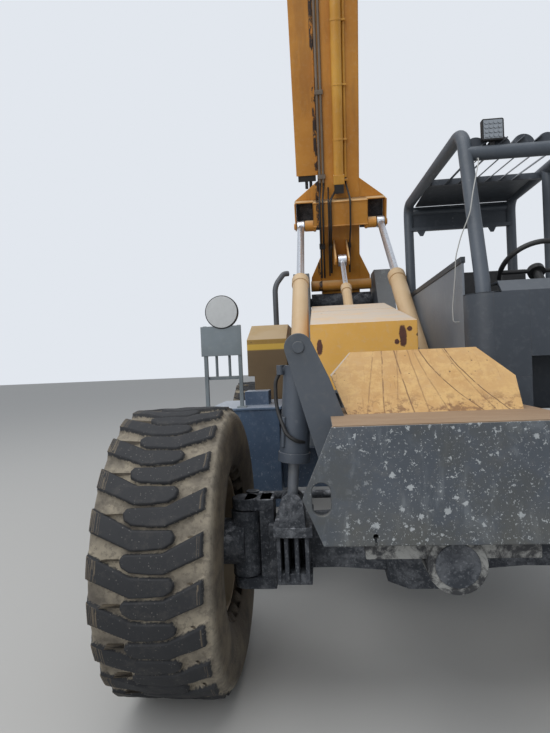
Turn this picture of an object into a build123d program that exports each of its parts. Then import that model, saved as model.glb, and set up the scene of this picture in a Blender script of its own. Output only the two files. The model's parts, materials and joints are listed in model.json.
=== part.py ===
from build123d import *
import math
import os

os.makedirs("parts", exist_ok=True)

# All sizes are in millimetres. X runs to the machine's left, Y to its rear, Z up.
# The lengths along Y are counted from the middle of the wheelbase.

# Running gear
WHEELBASE = 3150
HALF_TRACK = 1090
TYRE_R = 640
TYRE_HALF_W = 205
TYRE_SIDES = 24
LUG_COUNT = 24
LUG_DEPTH = 36
BEAD_R = 318
AXLE_Z = TYRE_R
FRONT_Y = -WHEELBASE / 2
REAR_Y = WHEELBASE / 2
KINGPIN_X = 830
KINGPIN_R = 30
SPINDLE_R = 60
FIT = 0.05
SWAY_Z = 700
TRUNNION_R = 66
TIE_ROD_Y = 165
TIE_ROD_Z = 811
TIE_ROD_R = 20

# Frame
RAIL_X = 300
RAIL_T = 30
PLATE_Y = -2245
PLATE_T = 20
BOX_TOP = 1255
BOX_REAR = -1855
SWAY_X = -550
SWAY_Y = -1850
SWAY_TOP_Z = 1520
SWAY_LOW_Z = 850

# Boom, drawn level and then raised about its pivot
BOOM_X = -180
PIVOT_Y = 1900
PIVOT_Z = 2130
BOOM_ANGLE = 66
BOOM_HALF_W = 210
BOOM_LOW = 20
BOOM_HIGH = 550
WALL = 10
PAD = 14.95
OUTER_END = 4850
MID_END = 5040
INNER_END = 5260
PIVOT_R = 50
TOWER_X = 450

# Cylinders on the boom
LIFT_X = 407
LIFT_BASE = (-740, 1250)
LIFT_PIN = (880, -150)
SLAVE_BASE = (-115, 1450)
SLAVE_PIN = (560, -400)
EXTEND_N = -32

# Carriage and forks
HEAD_PIN = (5480, -930)
FORK_LENGTH = 1200
FORK_X = 360

# Cab
CAB_IN = 340
CAB_OUT = 1200
TUBE_R = 38
ROOF_Z = 2640
FLOOR_Z = 1150


# Drawing helpers

def block(x0, x1, y0, y1, z0, z1):
    """A box between two corners."""
    return Location((x0, y0, z0)) * Solid.make_box(x1 - x0, y1 - y0, z1 - z0)


def polygon(points):
    """A flat face through 3-D points."""
    return Face(Wire.make_polygon(points, close=True))


def plate_x(outline, x0, x1):
    """A plate square to X, from (y, z) points."""
    flat = polygon([(x0, y, z) for y, z in outline])
    return Solid.extrude(flat, Vector(x1 - x0, 0, 0))


def plate_y(outline, y0, y1):
    """A plate square to Y, from (x, z) points."""
    flat = polygon([(x, y0, z) for x, z in outline])
    return Solid.extrude(flat, Vector(0, y1 - y0, 0))


def plate_z(outline, z0, z1):
    """A plate square to Z, from (x, y) points."""
    flat = polygon([(x, y, z0) for x, y in outline])
    return Solid.extrude(flat, Vector(0, 0, z1 - z0))


def rod(start, end, radius):
    """A round bar between two points."""
    a = Vector(*start)
    b = Vector(*end)
    return Solid.make_cylinder(radius, (b - a).length, Plane(origin=a, z_dir=b - a))


def ring(start, end, radius, bore):
    """A round tube between two points."""
    return rod(start, end, radius) - rod(start, end, bore)


def fuse(*solids):
    """One shape out of solids that meet."""
    return solids[0].fuse(*solids[1:])


def largest(shape):
    """The biggest solid of a cut shape."""
    return max(shape.solids(), key=lambda solid: solid.volume)


def bent_tube(points, radius, bend):
    """A round tube along a line with rounded corners."""
    path = FilletPolyline(*points, radius=bend)
    outline = Edge.make_circle(radius, Plane(origin=path @ 0, z_dir=path % 0))
    return Solid.sweep(Face(Wire([outline])), path.wire())


def arc_points(cx, cz, radius, start, end, steps):
    """Points round a corner, angles in degrees."""
    points = []
    for k in range(steps + 1):
        a = math.radians(start + (end - start) * k / steps)
        points.append((cx + radius * math.cos(a), cz + radius * math.sin(a)))
    return points


def faceted_ring(profile, sides):
    """A ring about X with flat facets, from a closed (x, radius) profile."""
    loops = []
    for x, r in profile:
        loop = []
        for k in range(sides):
            a = 2 * math.pi * (k + 0.5) / sides
            loop.append((x, r * math.cos(a), r * math.sin(a)))
        loops.append(loop)
    faces = []
    for j in range(len(loops)):
        low = loops[j]
        high = loops[(j + 1) % len(loops)]
        for k in range(sides):
            nxt = (k + 1) % sides
            faces.append(polygon([low[k], low[nxt], high[nxt], high[k]]))
    return Solid(Shell(faces))


def raised(s, n, angle=BOOM_ANGLE):
    """Machine (y, z) of a point s along the boom and n above its pivot line."""
    a = math.radians(angle)
    y = PIVOT_Y - s * math.cos(a) + n * math.sin(a)
    z = PIVOT_Z + s * math.sin(a) + n * math.cos(a)
    return y, z


def boom_plate(outline, x0, x1):
    """A plate square to X, from (s, n) boom points, x counted from the boom's middle."""
    return plate_x([raised(s, n) for s, n in outline], BOOM_X + x0, BOOM_X + x1)


def boom_block(s0, s1, n0, n1, x0, x1):
    """A box in the boom's own directions."""
    return boom_plate([(s0, n0), (s1, n0), (s1, n1), (s0, n1)], x0, x1)


def boom_rod(s0, n0, x0, s1, n1, x1, radius):
    """A round bar between two points given in the boom's own directions."""
    y0, z0 = raised(s0, n0)
    y1, z1 = raised(s1, n1)
    return rod((BOOM_X + x0, y0, z0), (BOOM_X + x1, y1, z1), radius)


# Along Y, the forks' tips and the counterweight's back lie equally far from the origin
HEAD_Y, HEAD_Z = raised(*HEAD_PIN)
FORK_FACE_Y = HEAD_Y - 190
FRONTMOST = FORK_FACE_Y - FORK_LENGTH
REARMOST = 2450
MID_Y = -(FRONTMOST + REARMOST) / 2


def save(shapes, name):
    """Writes one node, moved to the machine's origin."""
    if not isinstance(shapes, list):
        shapes = [shapes]
    solids = []
    for shape in shapes:
        solids.extend(shape.solids())
    moved = [Location((0, MID_Y, 0)) * solid for solid in solids]
    whole = moved[0] if len(moved) == 1 else Compound(children=moved)
    export_step(whole, "parts/" + name + ".step")


# Wheels

def lug(side, turn):
    """One bent tread lug, over the shoulder and past the middle."""
    outline = [
        (TYRE_HALF_W * 0.96, -72),
        (TYRE_HALF_W * 0.96, -20),
        (95, 0),
        (-18, 62),
        (-30, 34),
        (95, -50),
    ]
    top = math.sqrt(TYRE_R**2 - 70**2)
    flat = polygon([(side * x, t, TYRE_R - LUG_DEPTH - 48) for x, t in outline])
    solid = Solid.extrude(flat, Vector(0, 0, top - (TYRE_R - LUG_DEPTH - 48)))
    return Rotation(turn, 0, 0) * solid


def make_tyre():
    """A tyre about X with its centre at the origin."""
    crown = TYRE_R - LUG_DEPTH
    profile = [
        (-160, BEAD_R),
        (-200, 400),
        (-TYRE_HALF_W, 490),
        (-178, crown - 32),
        (-90, crown - 3),
        (90, crown - 3),
        (178, crown - 32),
        (TYRE_HALF_W, 490),
        (200, 400),
        (160, BEAD_R),
    ]
    tyre = faceted_ring(profile, TYRE_SIDES)
    lugs = []
    for k in range(LUG_COUNT):
        turn = 360 * k / LUG_COUNT
        lugs.append(lug(1, turn))
        lugs.append(lug(-1, turn + 180 / LUG_COUNT))
    return tyre.fuse(*lugs)


def make_rim(side):
    """A wheel disc with its hub, about X, its outside towards side."""
    seat = BEAD_R
    bore = (SPINDLE_R + FIT) / math.cos(math.pi / TYRE_SIDES)
    profile = [
        (-160, seat),
        (-160, 296),
        (20, 285),
        (40, 190),
        (-95, 150),
        (-95, bore),
        (62, bore),
        (62, 120),
        (150, 100),
        (150, 1),
        (172, 1),
        (172, 92),
        (120, 140),
        (70, 175),
        (60, 285),
        (160, 296),
        (160, seat),
    ]
    shape = faceted_ring([(side * x, r) for x, r in profile[:9]] + [(side * 150, 92)]
                         + [(side * x, r) for x, r in profile[12:]], TYRE_SIDES)
    return shape


def make_knuckle(side):
    """A steered wheel's carrier, about its kingpin at the origin."""
    reach = HALF_TRACK - KINGPIN_X
    body = rod((0, 0, -150), (0, 0, 150), 68)
    pins = rod((0, 0, -205), (0, 0, 205), KINGPIN_R)
    carrier = rod((0, 0, 0), (side * 160, 0, 0), 105)
    spindle = rod((side * 160, 0, 0), (side * (reach + 58), 0, 0), SPINDLE_R)
    return fuse(body, pins, carrier, spindle)


def steering_arm(side, back):
    """The arm from a kingpin to the tie rod, back is +1 for one behind the axle."""
    outline = [
        (side * -55, 0),
        (side * 55, 0),
        (side * 20, back * (TIE_ROD_Y + 28)),
        (side * -45, back * (TIE_ROD_Y + 28)),
    ]
    return plate_z(outline, 120, TIE_ROD_Z - TIE_ROD_R - 6 - AXLE_Z)


def make_axle(y, back):
    """An axle beam with its yokes and the steering cylinder's barrel."""
    beam = plate_y([
        (-715, 540), (-400, 545), (-200, 530), (200, 530), (400, 545), (715, 540),
        (715, 740), (400, 755), (200, 770), (-200, 770), (-400, 755), (-715, 740),
    ], y - 95, y + 95)
    bulge = plate_z([
        (-190, y - 110), (-110, y - 190), (110, y - 190), (190, y - 110),
        (190, y + 110), (110, y + 140), (-110, y + 140), (-190, y + 110),
    ], 485, 795)
    solids = [beam, bulge]
    for side in (-1, 1):
        x = side * KINGPIN_X
        web = [side * 690, side * 728]
        solids.append(block(min(web), max(web), y - 60, y + 60, 432, 848))
        for low, high in ((432, 484), (796, 848)):
            arm = [side * 700, x]
            solids.append(block(min(arm), max(arm), y - 62, y + 62, low, high))
            solids.append(rod((x, y, low), (x, y, high), 62))
    whole = fuse(*solids)
    barrel_y = y + back * TIE_ROD_Y
    barrel = rod((-230, barrel_y, TIE_ROD_Z), (230, barrel_y, TIE_ROD_Z), 45)
    low = min(y + back * 60, barrel_y)
    high = max(y + back * 60, barrel_y)
    whole = fuse(whole, barrel, block(-200, -150, low, high, 730, 800),
                 block(150, 200, low, high, 730, 800))
    whole = whole - rod((-231, barrel_y, TIE_ROD_Z), (231, barrel_y, TIE_ROD_Z), TIE_ROD_R + FIT)
    for side in (-1, 1):
        x = side * KINGPIN_X
        whole = whole - rod((x, y, 400), (x, y, 900), KINGPIN_R + FIT)
    return whole


def make_tie_rod(y, back):
    """The rod through a steering cylinder, with an eye at each end."""
    rod_y = y + back * TIE_ROD_Y
    bar = rod((-800, rod_y, TIE_ROD_Z), (800, rod_y, TIE_ROD_Z), TIE_ROD_R)
    ends = []
    for side in (-1, 1):
        x = side * 815
        ends.append(rod((x, rod_y, TIE_ROD_Z - TIE_ROD_R), (x, rod_y, TIE_ROD_Z + 24), 34))
    return fuse(bar, *ends)


TYRE = make_tyre()
RIMS = {-1: make_rim(-1), 1: make_rim(1)}
CORNERS = {
    "front_right": (-1, FRONT_Y, 1),
    "front_left": (1, FRONT_Y, 1),
    "rear_right": (-1, REAR_Y, -1),
    "rear_left": (1, REAR_Y, -1),
}
for corner, (side, axle_y, back) in CORNERS.items():
    centre = Location((side * HALF_TRACK, axle_y, AXLE_Z))
    kingpin = Location((side * KINGPIN_X, axle_y, AXLE_Z))
    save(centre * TYRE, corner + "_tyre")
    save(centre * RIMS[side], corner + "_rim")
    save(kingpin * fuse(make_knuckle(side), steering_arm(side, back)), corner + "_knuckle")

# Front axle, which rocks on two trunnions under the frame
sway_lug = [(SWAY_X - 60, 788), (SWAY_X + 60, 788)] + arc_points(SWAY_X, SWAY_LOW_Z, 52, 0, 180, 6)
front_axle = fuse(
    make_axle(FRONT_Y, 1),
    rod((0, -2150, SWAY_Z), (0, FRONT_Y - 150, SWAY_Z), TRUNNION_R),
    rod((0, FRONT_Y + 100, SWAY_Z), (0, -1100, SWAY_Z), TRUNNION_R),
    block(SWAY_X - 85, SWAY_X + 85, SWAY_Y - 60, FRONT_Y + 110, 740, 790),
    block(SWAY_X - 75, SWAY_X + 75, FRONT_Y - 120, FRONT_Y + 110, 505, 545),
    block(SWAY_X - 70, SWAY_X - 35, FRONT_Y - 120, FRONT_Y - 90, 520, 760),
    block(SWAY_X + 35, SWAY_X + 70, FRONT_Y - 120, FRONT_Y - 90, 520, 760),
    plate_y(sway_lug, SWAY_Y - 55, SWAY_Y - 35),
    plate_y(sway_lug, SWAY_Y + 35, SWAY_Y + 55),
)
save(front_axle, "front_axle")
save(make_tie_rod(FRONT_Y, 1), "front_tie_rod")

# Rear axle, bolted to pads under the rails
rear_axle = fuse(
    make_axle(REAR_Y, -1),
    block(-RAIL_X - 45, -RAIL_X + 20, REAR_Y - 90, REAR_Y + 90, 745, 900),
    block(RAIL_X - 20, RAIL_X + 45, REAR_Y - 90, REAR_Y + 90, 745, 900),
)
save(rear_axle, "rear_axle")
save(make_tie_rod(REAR_Y, -1), "rear_tie_rod")

# Main frame
rail = [
    (PLATE_Y + PLATE_T, 850), (-1900, 900), (-1130, 900), (-1000, 620), (900, 620),
    (1080, 900), (2040, 900), (2150, 800), (2150, 1300), (350, 1300), (60, 1500),
    (-955, 1500), (-1480, 1235), (PLATE_Y + PLATE_T, 1235),
]
front_plate = plate_y([
    (-390, 830), (390, 830), (525, 1040), (356, BOX_TOP), (-356, BOX_TOP), (-525, 1040),
], PLATE_Y, PLATE_Y + PLATE_T)
for side in (-1, 1):
    x = side * 467
    hole = rod((x, PLATE_Y - 1, 1021), (x, PLATE_Y + 30, 1021), 33)
    hole = hole + rod((x, PLATE_Y - 1, 979), (x, PLATE_Y + 30, 979), 33)
    hole = hole + block(x - 33, x + 33, PLATE_Y - 1, PLATE_Y + 30, 979, 1021)
    front_plate = front_plate - hole

arm_top = arc_points(SWAY_X, SWAY_TOP_Z, 66, 200, 20, 8)
sway_arm = arm_top + [(-408, 1262), (-325, 1225), (-325, 1060), (-420, 1060)]
tower = [
    (950, 1150), (950, 1430), (1560, 2200), (1690, 2330), (2060, 2340), (2200, 2220),
    (2250, 1950), (2250, 1150),
]


def lift_bracket(x):
    """Two plates that hold a lift cylinder's base pin."""
    y, z = LIFT_BASE
    outline = [(y - 110, 1040), (y + 110, 1040)] + arc_points(y, z, 82, 0, 180, 8)
    left = plate_x(outline, x - 92, x - 70)
    right = plate_x(outline, x + 70, x + 92)
    pin = rod((x - 92, y, z), (x + 92, y, z), 35)
    return fuse(left, right, pin)


def slave_bracket():
    """Two plates that hold the slave cylinder's base pin."""
    y, z = SLAVE_BASE
    outline = [(y - 90, 1180), (y + 70, 1180)] + arc_points(y, z, 52, 0, 180, 6)
    left = plate_x(outline, BOOM_X - 62, BOOM_X - 44)
    right = plate_x(outline, BOOM_X + 44, BOOM_X + 62)
    pin = rod((BOOM_X - 62, y, z), (BOOM_X + 62, y, z), 24)
    return fuse(left, right, pin)


def trunnion_carrier(y0, y1, top):
    """A hanging block round one of the front axle's trunnions."""
    hanger = plate_y([(-170, top), (-170, 660), (-95, 660), (95, 660), (170, 660), (170, top)], y0, y1)
    boss = rod((0, y0, SWAY_Z), (0, y1, SWAY_Z), 105)
    bore = rod((0, y0 - 1, SWAY_Z), (0, y1 + 1, SWAY_Z), TRUNNION_R + FIT)
    return hanger + boss - bore


main_frame = fuse(
    front_plate,
    plate_x(rail, -RAIL_X - RAIL_T, -RAIL_X),
    plate_x(rail, RAIL_X, RAIL_X + RAIL_T),
    block(-356, 356, PLATE_Y + PLATE_T, BOX_REAR + 300, 1235, BOX_TOP),
    block(-RAIL_X, RAIL_X, PLATE_Y + PLATE_T, -1900, 850, 870),
    block(-RAIL_X, RAIL_X, -1875, BOX_REAR, 870, 1235),
    block(-RAIL_X, RAIL_X, -1230, -1090, 900, 960),
    trunnion_carrier(-2150, -2010, 860),
    trunnion_carrier(-1220, -1110, 905),
    block(-700, RAIL_X + 1, -870, -600, 960, 1080),
    block(-RAIL_X, RAIL_X, -960, 0, 620, 640),
    block(-RAIL_X, RAIL_X, 60, 200, 1150, 1300),
    block(-RAIL_X, RAIL_X, -240, 60, 1150, 1190),
    plate_y(sway_arm, SWAY_Y - 88, SWAY_Y - 68),
    plate_y(sway_arm, SWAY_Y + 68, SWAY_Y + 88),
    rod((SWAY_X, SWAY_Y - 88, SWAY_TOP_Z), (SWAY_X, SWAY_Y + 88, SWAY_TOP_Z), 25),
    lift_bracket(BOOM_X - LIFT_X),
    lift_bracket(BOOM_X + LIFT_X),
    slave_bracket(),
    block(-505, RAIL_X, -955, -900, 1480, 1530),
    block(-505, -265, -955, 0, 1500, 1530),
    block(-95, 135, -955, 0, 1500, 1530),
    block(-505, 135, -955, -300, 1500, 1530),
    plate_x(tower, BOOM_X - TOWER_X - 40, BOOM_X - TOWER_X),
    plate_x(tower, BOOM_X + TOWER_X, BOOM_X + TOWER_X + 40),
    rod((BOOM_X - TOWER_X, PIVOT_Y, PIVOT_Z), (BOOM_X - 331, PIVOT_Y, PIVOT_Z), 82),
    rod((BOOM_X + 331, PIVOT_Y, PIVOT_Z), (BOOM_X + TOWER_X, PIVOT_Y, PIVOT_Z), 82),
    rod((BOOM_X - TOWER_X - 40, PIVOT_Y, PIVOT_Z), (BOOM_X + TOWER_X + 40, PIVOT_Y, PIVOT_Z), PIVOT_R),
    block(BOOM_X - TOWER_X - 40, RAIL_X + RAIL_T, 950, 1150, 1150, 1300),
    block(BOOM_X - TOWER_X - 40, RAIL_X + RAIL_T, 2050, 2250, 1150, 1300),
    block(BOOM_X - TOWER_X, BOOM_X + TOWER_X, 2220, 2250, 1300, 1700),
    block(-700, -RAIL_X, 60, 200, 1150, 1230),
    block(-700, -RAIL_X, 560, 700, 1150, 1230),
    block(RAIL_X, CAB_IN + 60, -700, -560, 1040, 1130),
    block(RAIL_X, CAB_IN + 60, -200, -60, 1040, 1130),
)
save(main_frame, "main_frame")

# Front cover, a shell over the frame's front end
front_cover = plate_y([(-400, 1390), (-380, 1255), (380, 1255), (400, 1390), (295, 1510), (-295, 1510)],
                      BOX_REAR, BOX_REAR + 300)
slope = plate_x([(-1860, 1257), (-1555, 1515), (-1860, 1515)], -500, 500)
inner = plate_y([(-392, 1388), (-372, 1254), (372, 1254), (392, 1388), (291, 1502), (-291, 1502)],
                BOX_REAR - 10, BOX_REAR + 290)
save(front_cover - slope - (Location((0, 10, -8)) * (inner - (Location((0, 10, -8)) * slope))), "front_cover")

# Middle cover under the boom
mid_shell = plate_x([(-955, 1530), (-955, 1684), (-15, 1915), (-15, 1530)], BOOM_X - 315, BOOM_X + 315)
mid_void = plate_x([(-949, 1529), (-949, 1678), (-14, 1908), (-14, 1529)], BOOM_X - 309, BOOM_X + 309)
save(mid_shell - mid_void, "mid_cover")

# Rear counterweight
save(plate_x([(2250, 760), (2250, 1560), (2330, 1560), (REARMOST, 1380), (REARMOST, 860), (2350, 760)],
             -620, 360), "counterweight")
hitch = block(-200, -60, 2330, 2445, 700, 740)
hitch = hitch + block(-200, -60, 2290, 2340, 700, 800)
hitch = hitch - rod((-130, 2400, 690), (-130, 2400, 750), 20)
save(hitch - plate_x([(2250, 760), (2250, 1560), (2330, 1560), (REARMOST, 1380), (REARMOST, 860), (2350, 760)],
                     -620, 360), "tow_hitch")

# Hydraulic tank with its filler box, carried on two arms
tank_body = block(-1170, -720, -740, -60, 560, 1180)
tank_top = block(-1185, -705, -750, -50, 1180, 1196)
filler = block(-960, -800, -560, -380, 1196, 1290)
tank_x = -RAIL_X - RAIL_T
arms = [block(-720, tank_x, -560, -480, 640, 900), block(-720, tank_x, -240, -160, 640, 900)]
save(fuse(tank_body, tank_top, filler, *arms), "hydraulic_tank")

# Mirror on its frame
mirror_y = -700
legs = [rod((x, mirror_y, 1196), (x, mirror_y, 1560), 14) for x in (-1180, -970)]
panel = block(-1196, -950, mirror_y - 8, mirror_y + 8, 1530, 1740)
window = block(-1166, -980, mirror_y - 9, mirror_y + 9, 1560, 1710)
stalk = rod((-1073, mirror_y, 1735), (-1073, mirror_y, 1830), 10)
disc = rod((-1073, mirror_y - 34, 1816), (-1073, mirror_y + 6, 1816), 108)
save(fuse(panel - window, stalk, disc, *legs), "mirror")

# Engine hood, open below, and the engine inside it
hood_side = [(0, 1376), (0, 1660), (330, 1790), (2080, 1800), (2200, 1640), (2200, 1376)]
hood = plate_x(hood_side, -1010, -700)
hood_void = plate_x([(8, 1375), (8, 1655), (334, 1782), (2076, 1792), (2192, 1637), (2192, 1375)],
                    -1002, -708)
skirt = block(-960, -700, 0, 740, 760, 1376)
skirt_void = block(-952, -708, 8, 732, 768, 1377)
bottom_rim = block(-1010, -700, 0, 2200, 1376, 1384) - block(-952, -708, 8, 2192, 1375, 1385)
save(fuse(hood - hood_void, skirt - skirt_void, bottom_rim), "engine_hood")
save(fuse(block(-940, -708, 60, 720, 900, 1360), block(-930, -708, 90, 690, 1360, 1620)), "engine_block")

exhaust = bent_tube([(-850, 330, 1789), (-850, 330, 1900), (-820, 250, 2010), (-790, 180, 2030)], 34, 50)
save(exhaust - hood, "exhaust_pipe")

# Boom, outer section
rear_end = [(-130, 20), (OUTER_END, 20), (OUTER_END, BOOM_HIGH), (-60, BOOM_HIGH), (-130, 470)]
outer = boom_plate(rear_end, -BOOM_HALF_W, BOOM_HALF_W)
cavity = boom_block(120, OUTER_END + 10, BOOM_LOW + WALL, BOOM_HIGH - WALL,
                    -BOOM_HALF_W + WALL, BOOM_HALF_W - WALL)
pivot_tube = rod((BOOM_X - 330, PIVOT_Y, PIVOT_Z), (BOOM_X + 330, PIVOT_Y, PIVOT_Z), 95)
pivot_bore = rod((BOOM_X - 331, PIVOT_Y, PIVOT_Z), (BOOM_X + 331, PIVOT_Y, PIVOT_Z), PIVOT_R + FIT)
gussets = [
    plate_x([raised(-60, 10), raised(200, 10), raised(200, 60), raised(-60, 60)], BOOM_X - 260, BOOM_X + 260),
]
wing = boom_plate([(760, 20), (800, -230), (880, -230), (960, -60), (1250, 20)], -370, 370)
lift_lugs = []
for side in (-1, 1):
    y, z = raised(*LIFT_PIN)
    inner_x = BOOM_X + side * 340
    outer_x = BOOM_X + side * (LIFT_X - 42)
    lift_lugs.append(rod((inner_x, y, z), (outer_x, y, z), 75))
slave_lug = [(430, 20), (700, 20), (SLAVE_PIN[0] + 45, SLAVE_PIN[1]), (SLAVE_PIN[0] + 30, SLAVE_PIN[1] - 45),
             (SLAVE_PIN[0] - 30, SLAVE_PIN[1] - 45), (SLAVE_PIN[0] - 45, SLAVE_PIN[1])]
front_frame = boom_block(OUTER_END - 120, OUTER_END, BOOM_LOW, BOOM_HIGH + 20,
                         -BOOM_HALF_W - 20, BOOM_HALF_W + 20)


def pads(s0, s1, low, high, half, reach):
    """Wear strips that fill a section's clearance, left short by the running fit."""
    return [
        boom_block(s0, s1, low, low + reach, -half + 40, half - 40),
        boom_block(s0, s1, high - reach, high, -half + 40, half - 40),
        boom_block(s0, s1, low + 60, high - 60, -half, -half + reach),
        boom_block(s0, s1, low + 60, high - 60, half - reach, half),
    ]


boom_outer = fuse(
    outer + front_frame + pivot_tube - cavity - pivot_bore,
    gussets[0] - pivot_bore - pivot_tube,
    wing,
    *lift_lugs,
    boom_plate(slave_lug, -75, -57),
    boom_plate(slave_lug, 57, 75),
    *pads(OUTER_END - 200, OUTER_END - 20, BOOM_LOW + WALL, BOOM_HIGH - WALL, BOOM_HALF_W - WALL, PAD),
)
save(boom_outer, "boom_outer")

save(boom_block(1350, 4700, 110, 350, -BOOM_HALF_W - 228, -BOOM_HALF_W), "hose_track_cover")

extend_y = EXTEND_N
save(fuse(
    boom_rod(1270, extend_y, 0, 4960, extend_y, 0, 50) - boom_rod(1370, extend_y, 0, 5000, extend_y, 0, 36 + FIT),
    boom_block(1260, 1350, extend_y - 60, 20, -60, 60),
), "extension_barrel")

# Boom, middle section
MID_HALF = BOOM_HALF_W - WALL - 15
MID_LOW = BOOM_LOW + WALL + 15
MID_HIGH = BOOM_HIGH - WALL - 15
mid = boom_block(260, MID_END, MID_LOW, MID_HIGH, -MID_HALF, MID_HALF)
mid_cavity = boom_block(300, MID_END + 10, MID_LOW + WALL, MID_HIGH - WALL, -MID_HALF + WALL, MID_HALF - WALL)
rod_lug = boom_block(MID_END - 50, MID_END - 10, extend_y - 55, MID_LOW, -60, 60)
save(fuse(
    mid - mid_cavity,
    rod_lug,
    boom_rod(1400, extend_y, 0, MID_END - 50, extend_y, 0, 36),
    *pads(MID_END - 200, MID_END - 20, MID_LOW + WALL, MID_HIGH - WALL, MID_HALF - WALL, PAD),
), "boom_middle")

# Boom, inner section with its head
INNER_HALF = MID_HALF - WALL - 15
INNER_LOW = MID_LOW + WALL + 15
INNER_HIGH = MID_HIGH - WALL - 15
head = [
    (INNER_END - 60, INNER_LOW), (INNER_END - 60, INNER_HIGH), (INNER_END + 330, INNER_HIGH - 120),
    (HEAD_PIN[0] + 110, -450), (HEAD_PIN[0] + 58, HEAD_PIN[1] + 190), (HEAD_PIN[0] + 58, HEAD_PIN[1]),
    (HEAD_PIN[0] + 40, HEAD_PIN[1] - 70),
    (HEAD_PIN[0] - 50, HEAD_PIN[1] - 70), (HEAD_PIN[0] - 95, HEAD_PIN[1]), (INNER_END - 10, -420),
    (INNER_END - 60, -120),
]
inner_tube = boom_block(420, INNER_END, INNER_LOW, INNER_HIGH, -INNER_HALF, INNER_HALF)
inner_cavity = boom_block(410, INNER_END - 80, INNER_LOW + WALL, INNER_HIGH - WALL, -INNER_HALF + WALL, INNER_HALF - WALL)
head_bore = boom_rod(HEAD_PIN[0], HEAD_PIN[1], -140, HEAD_PIN[0], HEAD_PIN[1], 140, 40 + FIT)
save(fuse(inner_tube - inner_cavity, boom_plate(head, -125, 125)) - head_bore, "boom_inner")

# Level pin and carriage
hy, hz = HEAD_Y, HEAD_Z
save(rod((BOOM_X - 128, hy, hz), (BOOM_X + 128, hy, hz), 40) - rod((BOOM_X - 140, hy, hz), (BOOM_X + 140, hy, hz), 22 + FIT),
     "level_pin")
ears = [(hy - 130, hz - 330), (hy - 130, hz + 120), (hy - 40, hz + 90), (hy + 55, hz + 30), (hy + 55, hz - 40),
        (hy - 60, hz - 330)]
bar_x = 620
carriage = fuse(
    plate_x(ears, BOOM_X - 165, BOOM_X - 132),
    plate_x(ears, BOOM_X + 132, BOOM_X + 165),
    rod((BOOM_X - 165, hy, hz), (BOOM_X + 165, hy, hz), 22),
    block(BOOM_X - bar_x, BOOM_X + bar_x, hy - 170, hy - 120, hz + 40, hz + 130),
    block(BOOM_X - bar_x, BOOM_X + bar_x, hy - 170, hy - 120, hz - 390, hz - 310),
    block(BOOM_X - bar_x, BOOM_X - bar_x + 60, hy - 165, hy - 125, hz - 390, hz + 130),
    block(BOOM_X + bar_x - 60, BOOM_X + bar_x, hy - 165, hy - 125, hz - 390, hz + 130),
    block(BOOM_X - 230, BOOM_X - 170, hy - 165, hy - 125, hz - 390, hz + 130),
    block(BOOM_X + 170, BOOM_X + 230, hy - 165, hy - 125, hz - 390, hz + 130),
    block(BOOM_X - 230, BOOM_X + 230, hy - 160, hy - 128, hz - 330, hz - 300),
)
save(carriage, "carriage")

fork_side = [
    (hy - 170, hz + 150), (hy - 195, hz + 150), (hy - 215, hz - 410), (FRONTMOST, hz - 410),
    (FRONTMOST, hz - 420), (FRONTMOST + 700, hz - 450), (hy - 170, hz - 450),
]
forks = []
for side in (-1, 1):
    x = BOOM_X + side * FORK_X
    forks.append(plate_x(fork_side, x - 60, x + 60))
save(forks, "forks")


# Cylinders

def toward(base, tip, distance):
    """The (y, z) point a given distance from base towards tip."""
    dy = tip[0] - base[0]
    dz = tip[1] - base[1]
    length = math.hypot(dy, dz)
    return base[0] + dy * distance / length, base[1] + dz * distance / length


def cylinder_parts(base, tip, x, barrel_r, rod_r, barrel_len, eye_w, tip_w, pin_r, inner_from, rod_inside):
    """A barrel with its base eye and a rod with its end eye, at one x."""
    end = toward(base, tip, barrel_len)
    start = toward(base, tip, barrel_r * 0.9)
    bore0 = toward(base, tip, inner_from)
    over = toward(base, tip, barrel_len + 5)
    barrel = rod((x, *start), (x, *end), barrel_r)
    gland0 = toward(base, tip, barrel_len - 90)
    barrel = barrel + rod((x, *gland0), (x, *end), barrel_r + 8)
    eye = rod((x - eye_w / 2, *base), (x + eye_w / 2, *base), barrel_r + 8)
    barrel = barrel + eye
    barrel = barrel - rod((x, *bore0), (x, *over), rod_r + FIT)
    barrel = barrel - rod((x - eye_w, *base), (x + eye_w, *base), pin_r + FIT)
    inside = toward(base, tip, rod_inside)
    bar = rod((x, *inside), (x, *tip), rod_r)
    end_eye = rod((x - tip_w / 2, *tip), (x + tip_w / 2, *tip), 58)
    return barrel, bar + end_eye


lift_tip = raised(*LIFT_PIN)
lift_barrels = []
lift_rods = []
for side in (-1, 1):
    barrel, bar = cylinder_parts(LIFT_BASE, lift_tip, BOOM_X + side * LIFT_X, 65, 34, 1530, 136, 72, 35, 400, 1280)
    lift_barrels.append(barrel)
    lift_rods.append(bar)
save(lift_barrels, "lift_barrels")
save(lift_rods, "lift_rods")

slave_tip = raised(*SLAVE_PIN)
barrel, bar = cylinder_parts(SLAVE_BASE, slave_tip, BOOM_X, 42, 22, 1180, 84, 80, 24, 200, 950)
save(barrel, "slave_barrel")
save(bar, "slave_rod")

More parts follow.
